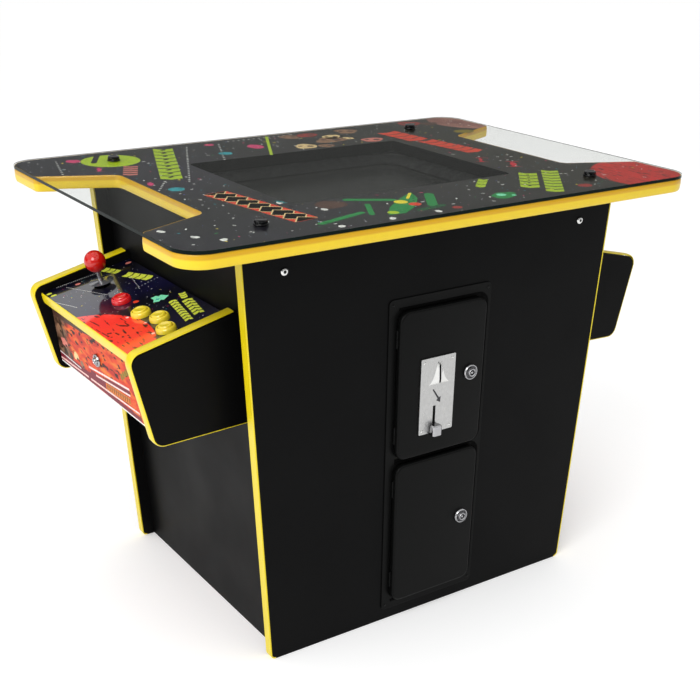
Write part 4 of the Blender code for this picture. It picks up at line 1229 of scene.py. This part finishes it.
def make_camera():
    """Camera where the photographer stood: to the left of the coin doors, above the table."""
    data = bpy.data.cameras.new("camera")
    data.lens = 57.5
    data.sensor_width = 36.0
    data.shift_x = -0.01444
    data.shift_y = 0.32184
    data.clip_end = 200.0
    yaw, pitch, roll = (math.radians(angle) for angle in (-34.5539, 31.2994, 0.9027))
    ahead = Vector((-math.sin(yaw) * math.cos(pitch), math.cos(yaw) * math.cos(pitch), -math.sin(pitch)))
    level = ahead.cross(Vector((0, 0, 1))).normalized()
    upright = level.cross(ahead)
    right = level * math.cos(roll) + upright * math.sin(roll)
    up = upright * math.cos(roll) - level * math.sin(roll)
    camera = bpy.data.objects.new("camera", data)
    camera.matrix_world = Matrix.Translation((-1.10424, -1.65778, 1.13482)) @ Matrix(
        (right, up, -ahead)).transposed().to_4x4()
    bpy.context.scene.collection.objects.link(camera)
    bpy.context.scene.camera = camera


def area_light(name, spot, aim, size, power, colour=(1, 1, 1)):
    data = bpy.data.lights.new(name, "AREA")
    data.shape = "RECTANGLE"
    data.size, data.size_y = size
    data.energy = power
    data.color = colour
    lamp = bpy.data.objects.new(name, data)
    lamp.visible_camera = False
    lamp.location = spot
    lamp.rotation_mode = "QUATERNION"
    lamp.rotation_quaternion = (Vector(aim) - Vector(spot)).to_track_quat("-Z", "Y")
    bpy.context.scene.collection.objects.link(lamp)


def make_studio():
    """White floor under a pale dome that is dimmer near the horizon, with one soft key light."""
    world = bpy.data.worlds.new("studio")
    bpy.context.scene.world = world
    world.use_nodes = True
    tree = world.node_tree
    where = tree.nodes.new("ShaderNodeTexCoord")
    height = tree.nodes.new("ShaderNodeSeparateXYZ")
    ramp = tree.nodes.new("ShaderNodeValToRGB")
    tree.links.new(where.outputs["Generated"], height.inputs[0])
    tree.links.new(height.outputs["Z"], ramp.inputs[0])
    stops = ((0.0, 0.40), (0.08, 0.13), (0.28, 0.15), (0.40, 0.95), (1.0, 1.05))
    for place, _ in stops[2:]:
        ramp.color_ramp.elements.new(place)
    for element, (place, level) in zip(ramp.color_ramp.elements, stops):
        element.position = place
        element.color = (level, level, level, 1)
    tree.links.new(ramp.outputs[0], tree.nodes["Background"].inputs["Color"])
    tree.nodes["Background"].inputs["Strength"].default_value = 1.0
    area_light("key", (-2.2, -1.6, 2.6), (0, 0, 0.5), (1.6, 1.6), 50)
    area_light("fill", (-3.4, -0.2, 1.1), (0, 0, 0.5), (2.2, 1.4), 16)
    bpy.context.scene.view_settings.view_transform = "Standard"

    paint = Paint("pale_floor", 0.9, specular_ior_level=0.05)
    paint.set("Base Color", paint.mix(paint.noise(3.0, 3.0), (0.93, 0.93, 0.93, 1), (0.95, 0.95, 0.95, 1)))
    paint.set("Emission Color", (1, 1, 1, 1))
    paint.set("Emission Strength", 0.16)
    mesh = bpy.data.meshes.new("floor")
    reach = 60.0
    mesh.from_pydata([(-reach, -reach, -0.0005), (reach, -reach, -0.0005), (reach, reach, -0.0005),
                      (-reach, reach, -0.0005)], [], [(0, 1, 2, 3)])
    mesh.materials.append(paint.material)
    floor = bpy.data.objects.new("floor", mesh)
    bpy.context.scene.collection.objects.link(floor)


make_camera()
make_studio()
make_table()
make_body()
make_coin_doors()
for hand in ("left", "right"):
    make_cheeks(hand)
    make_cover(hand)
    make_deck(hand)
    make_joystick(hand)
    make_buttons(hand)
    print_deck(hand)
    print_cover(hand)
print_table()
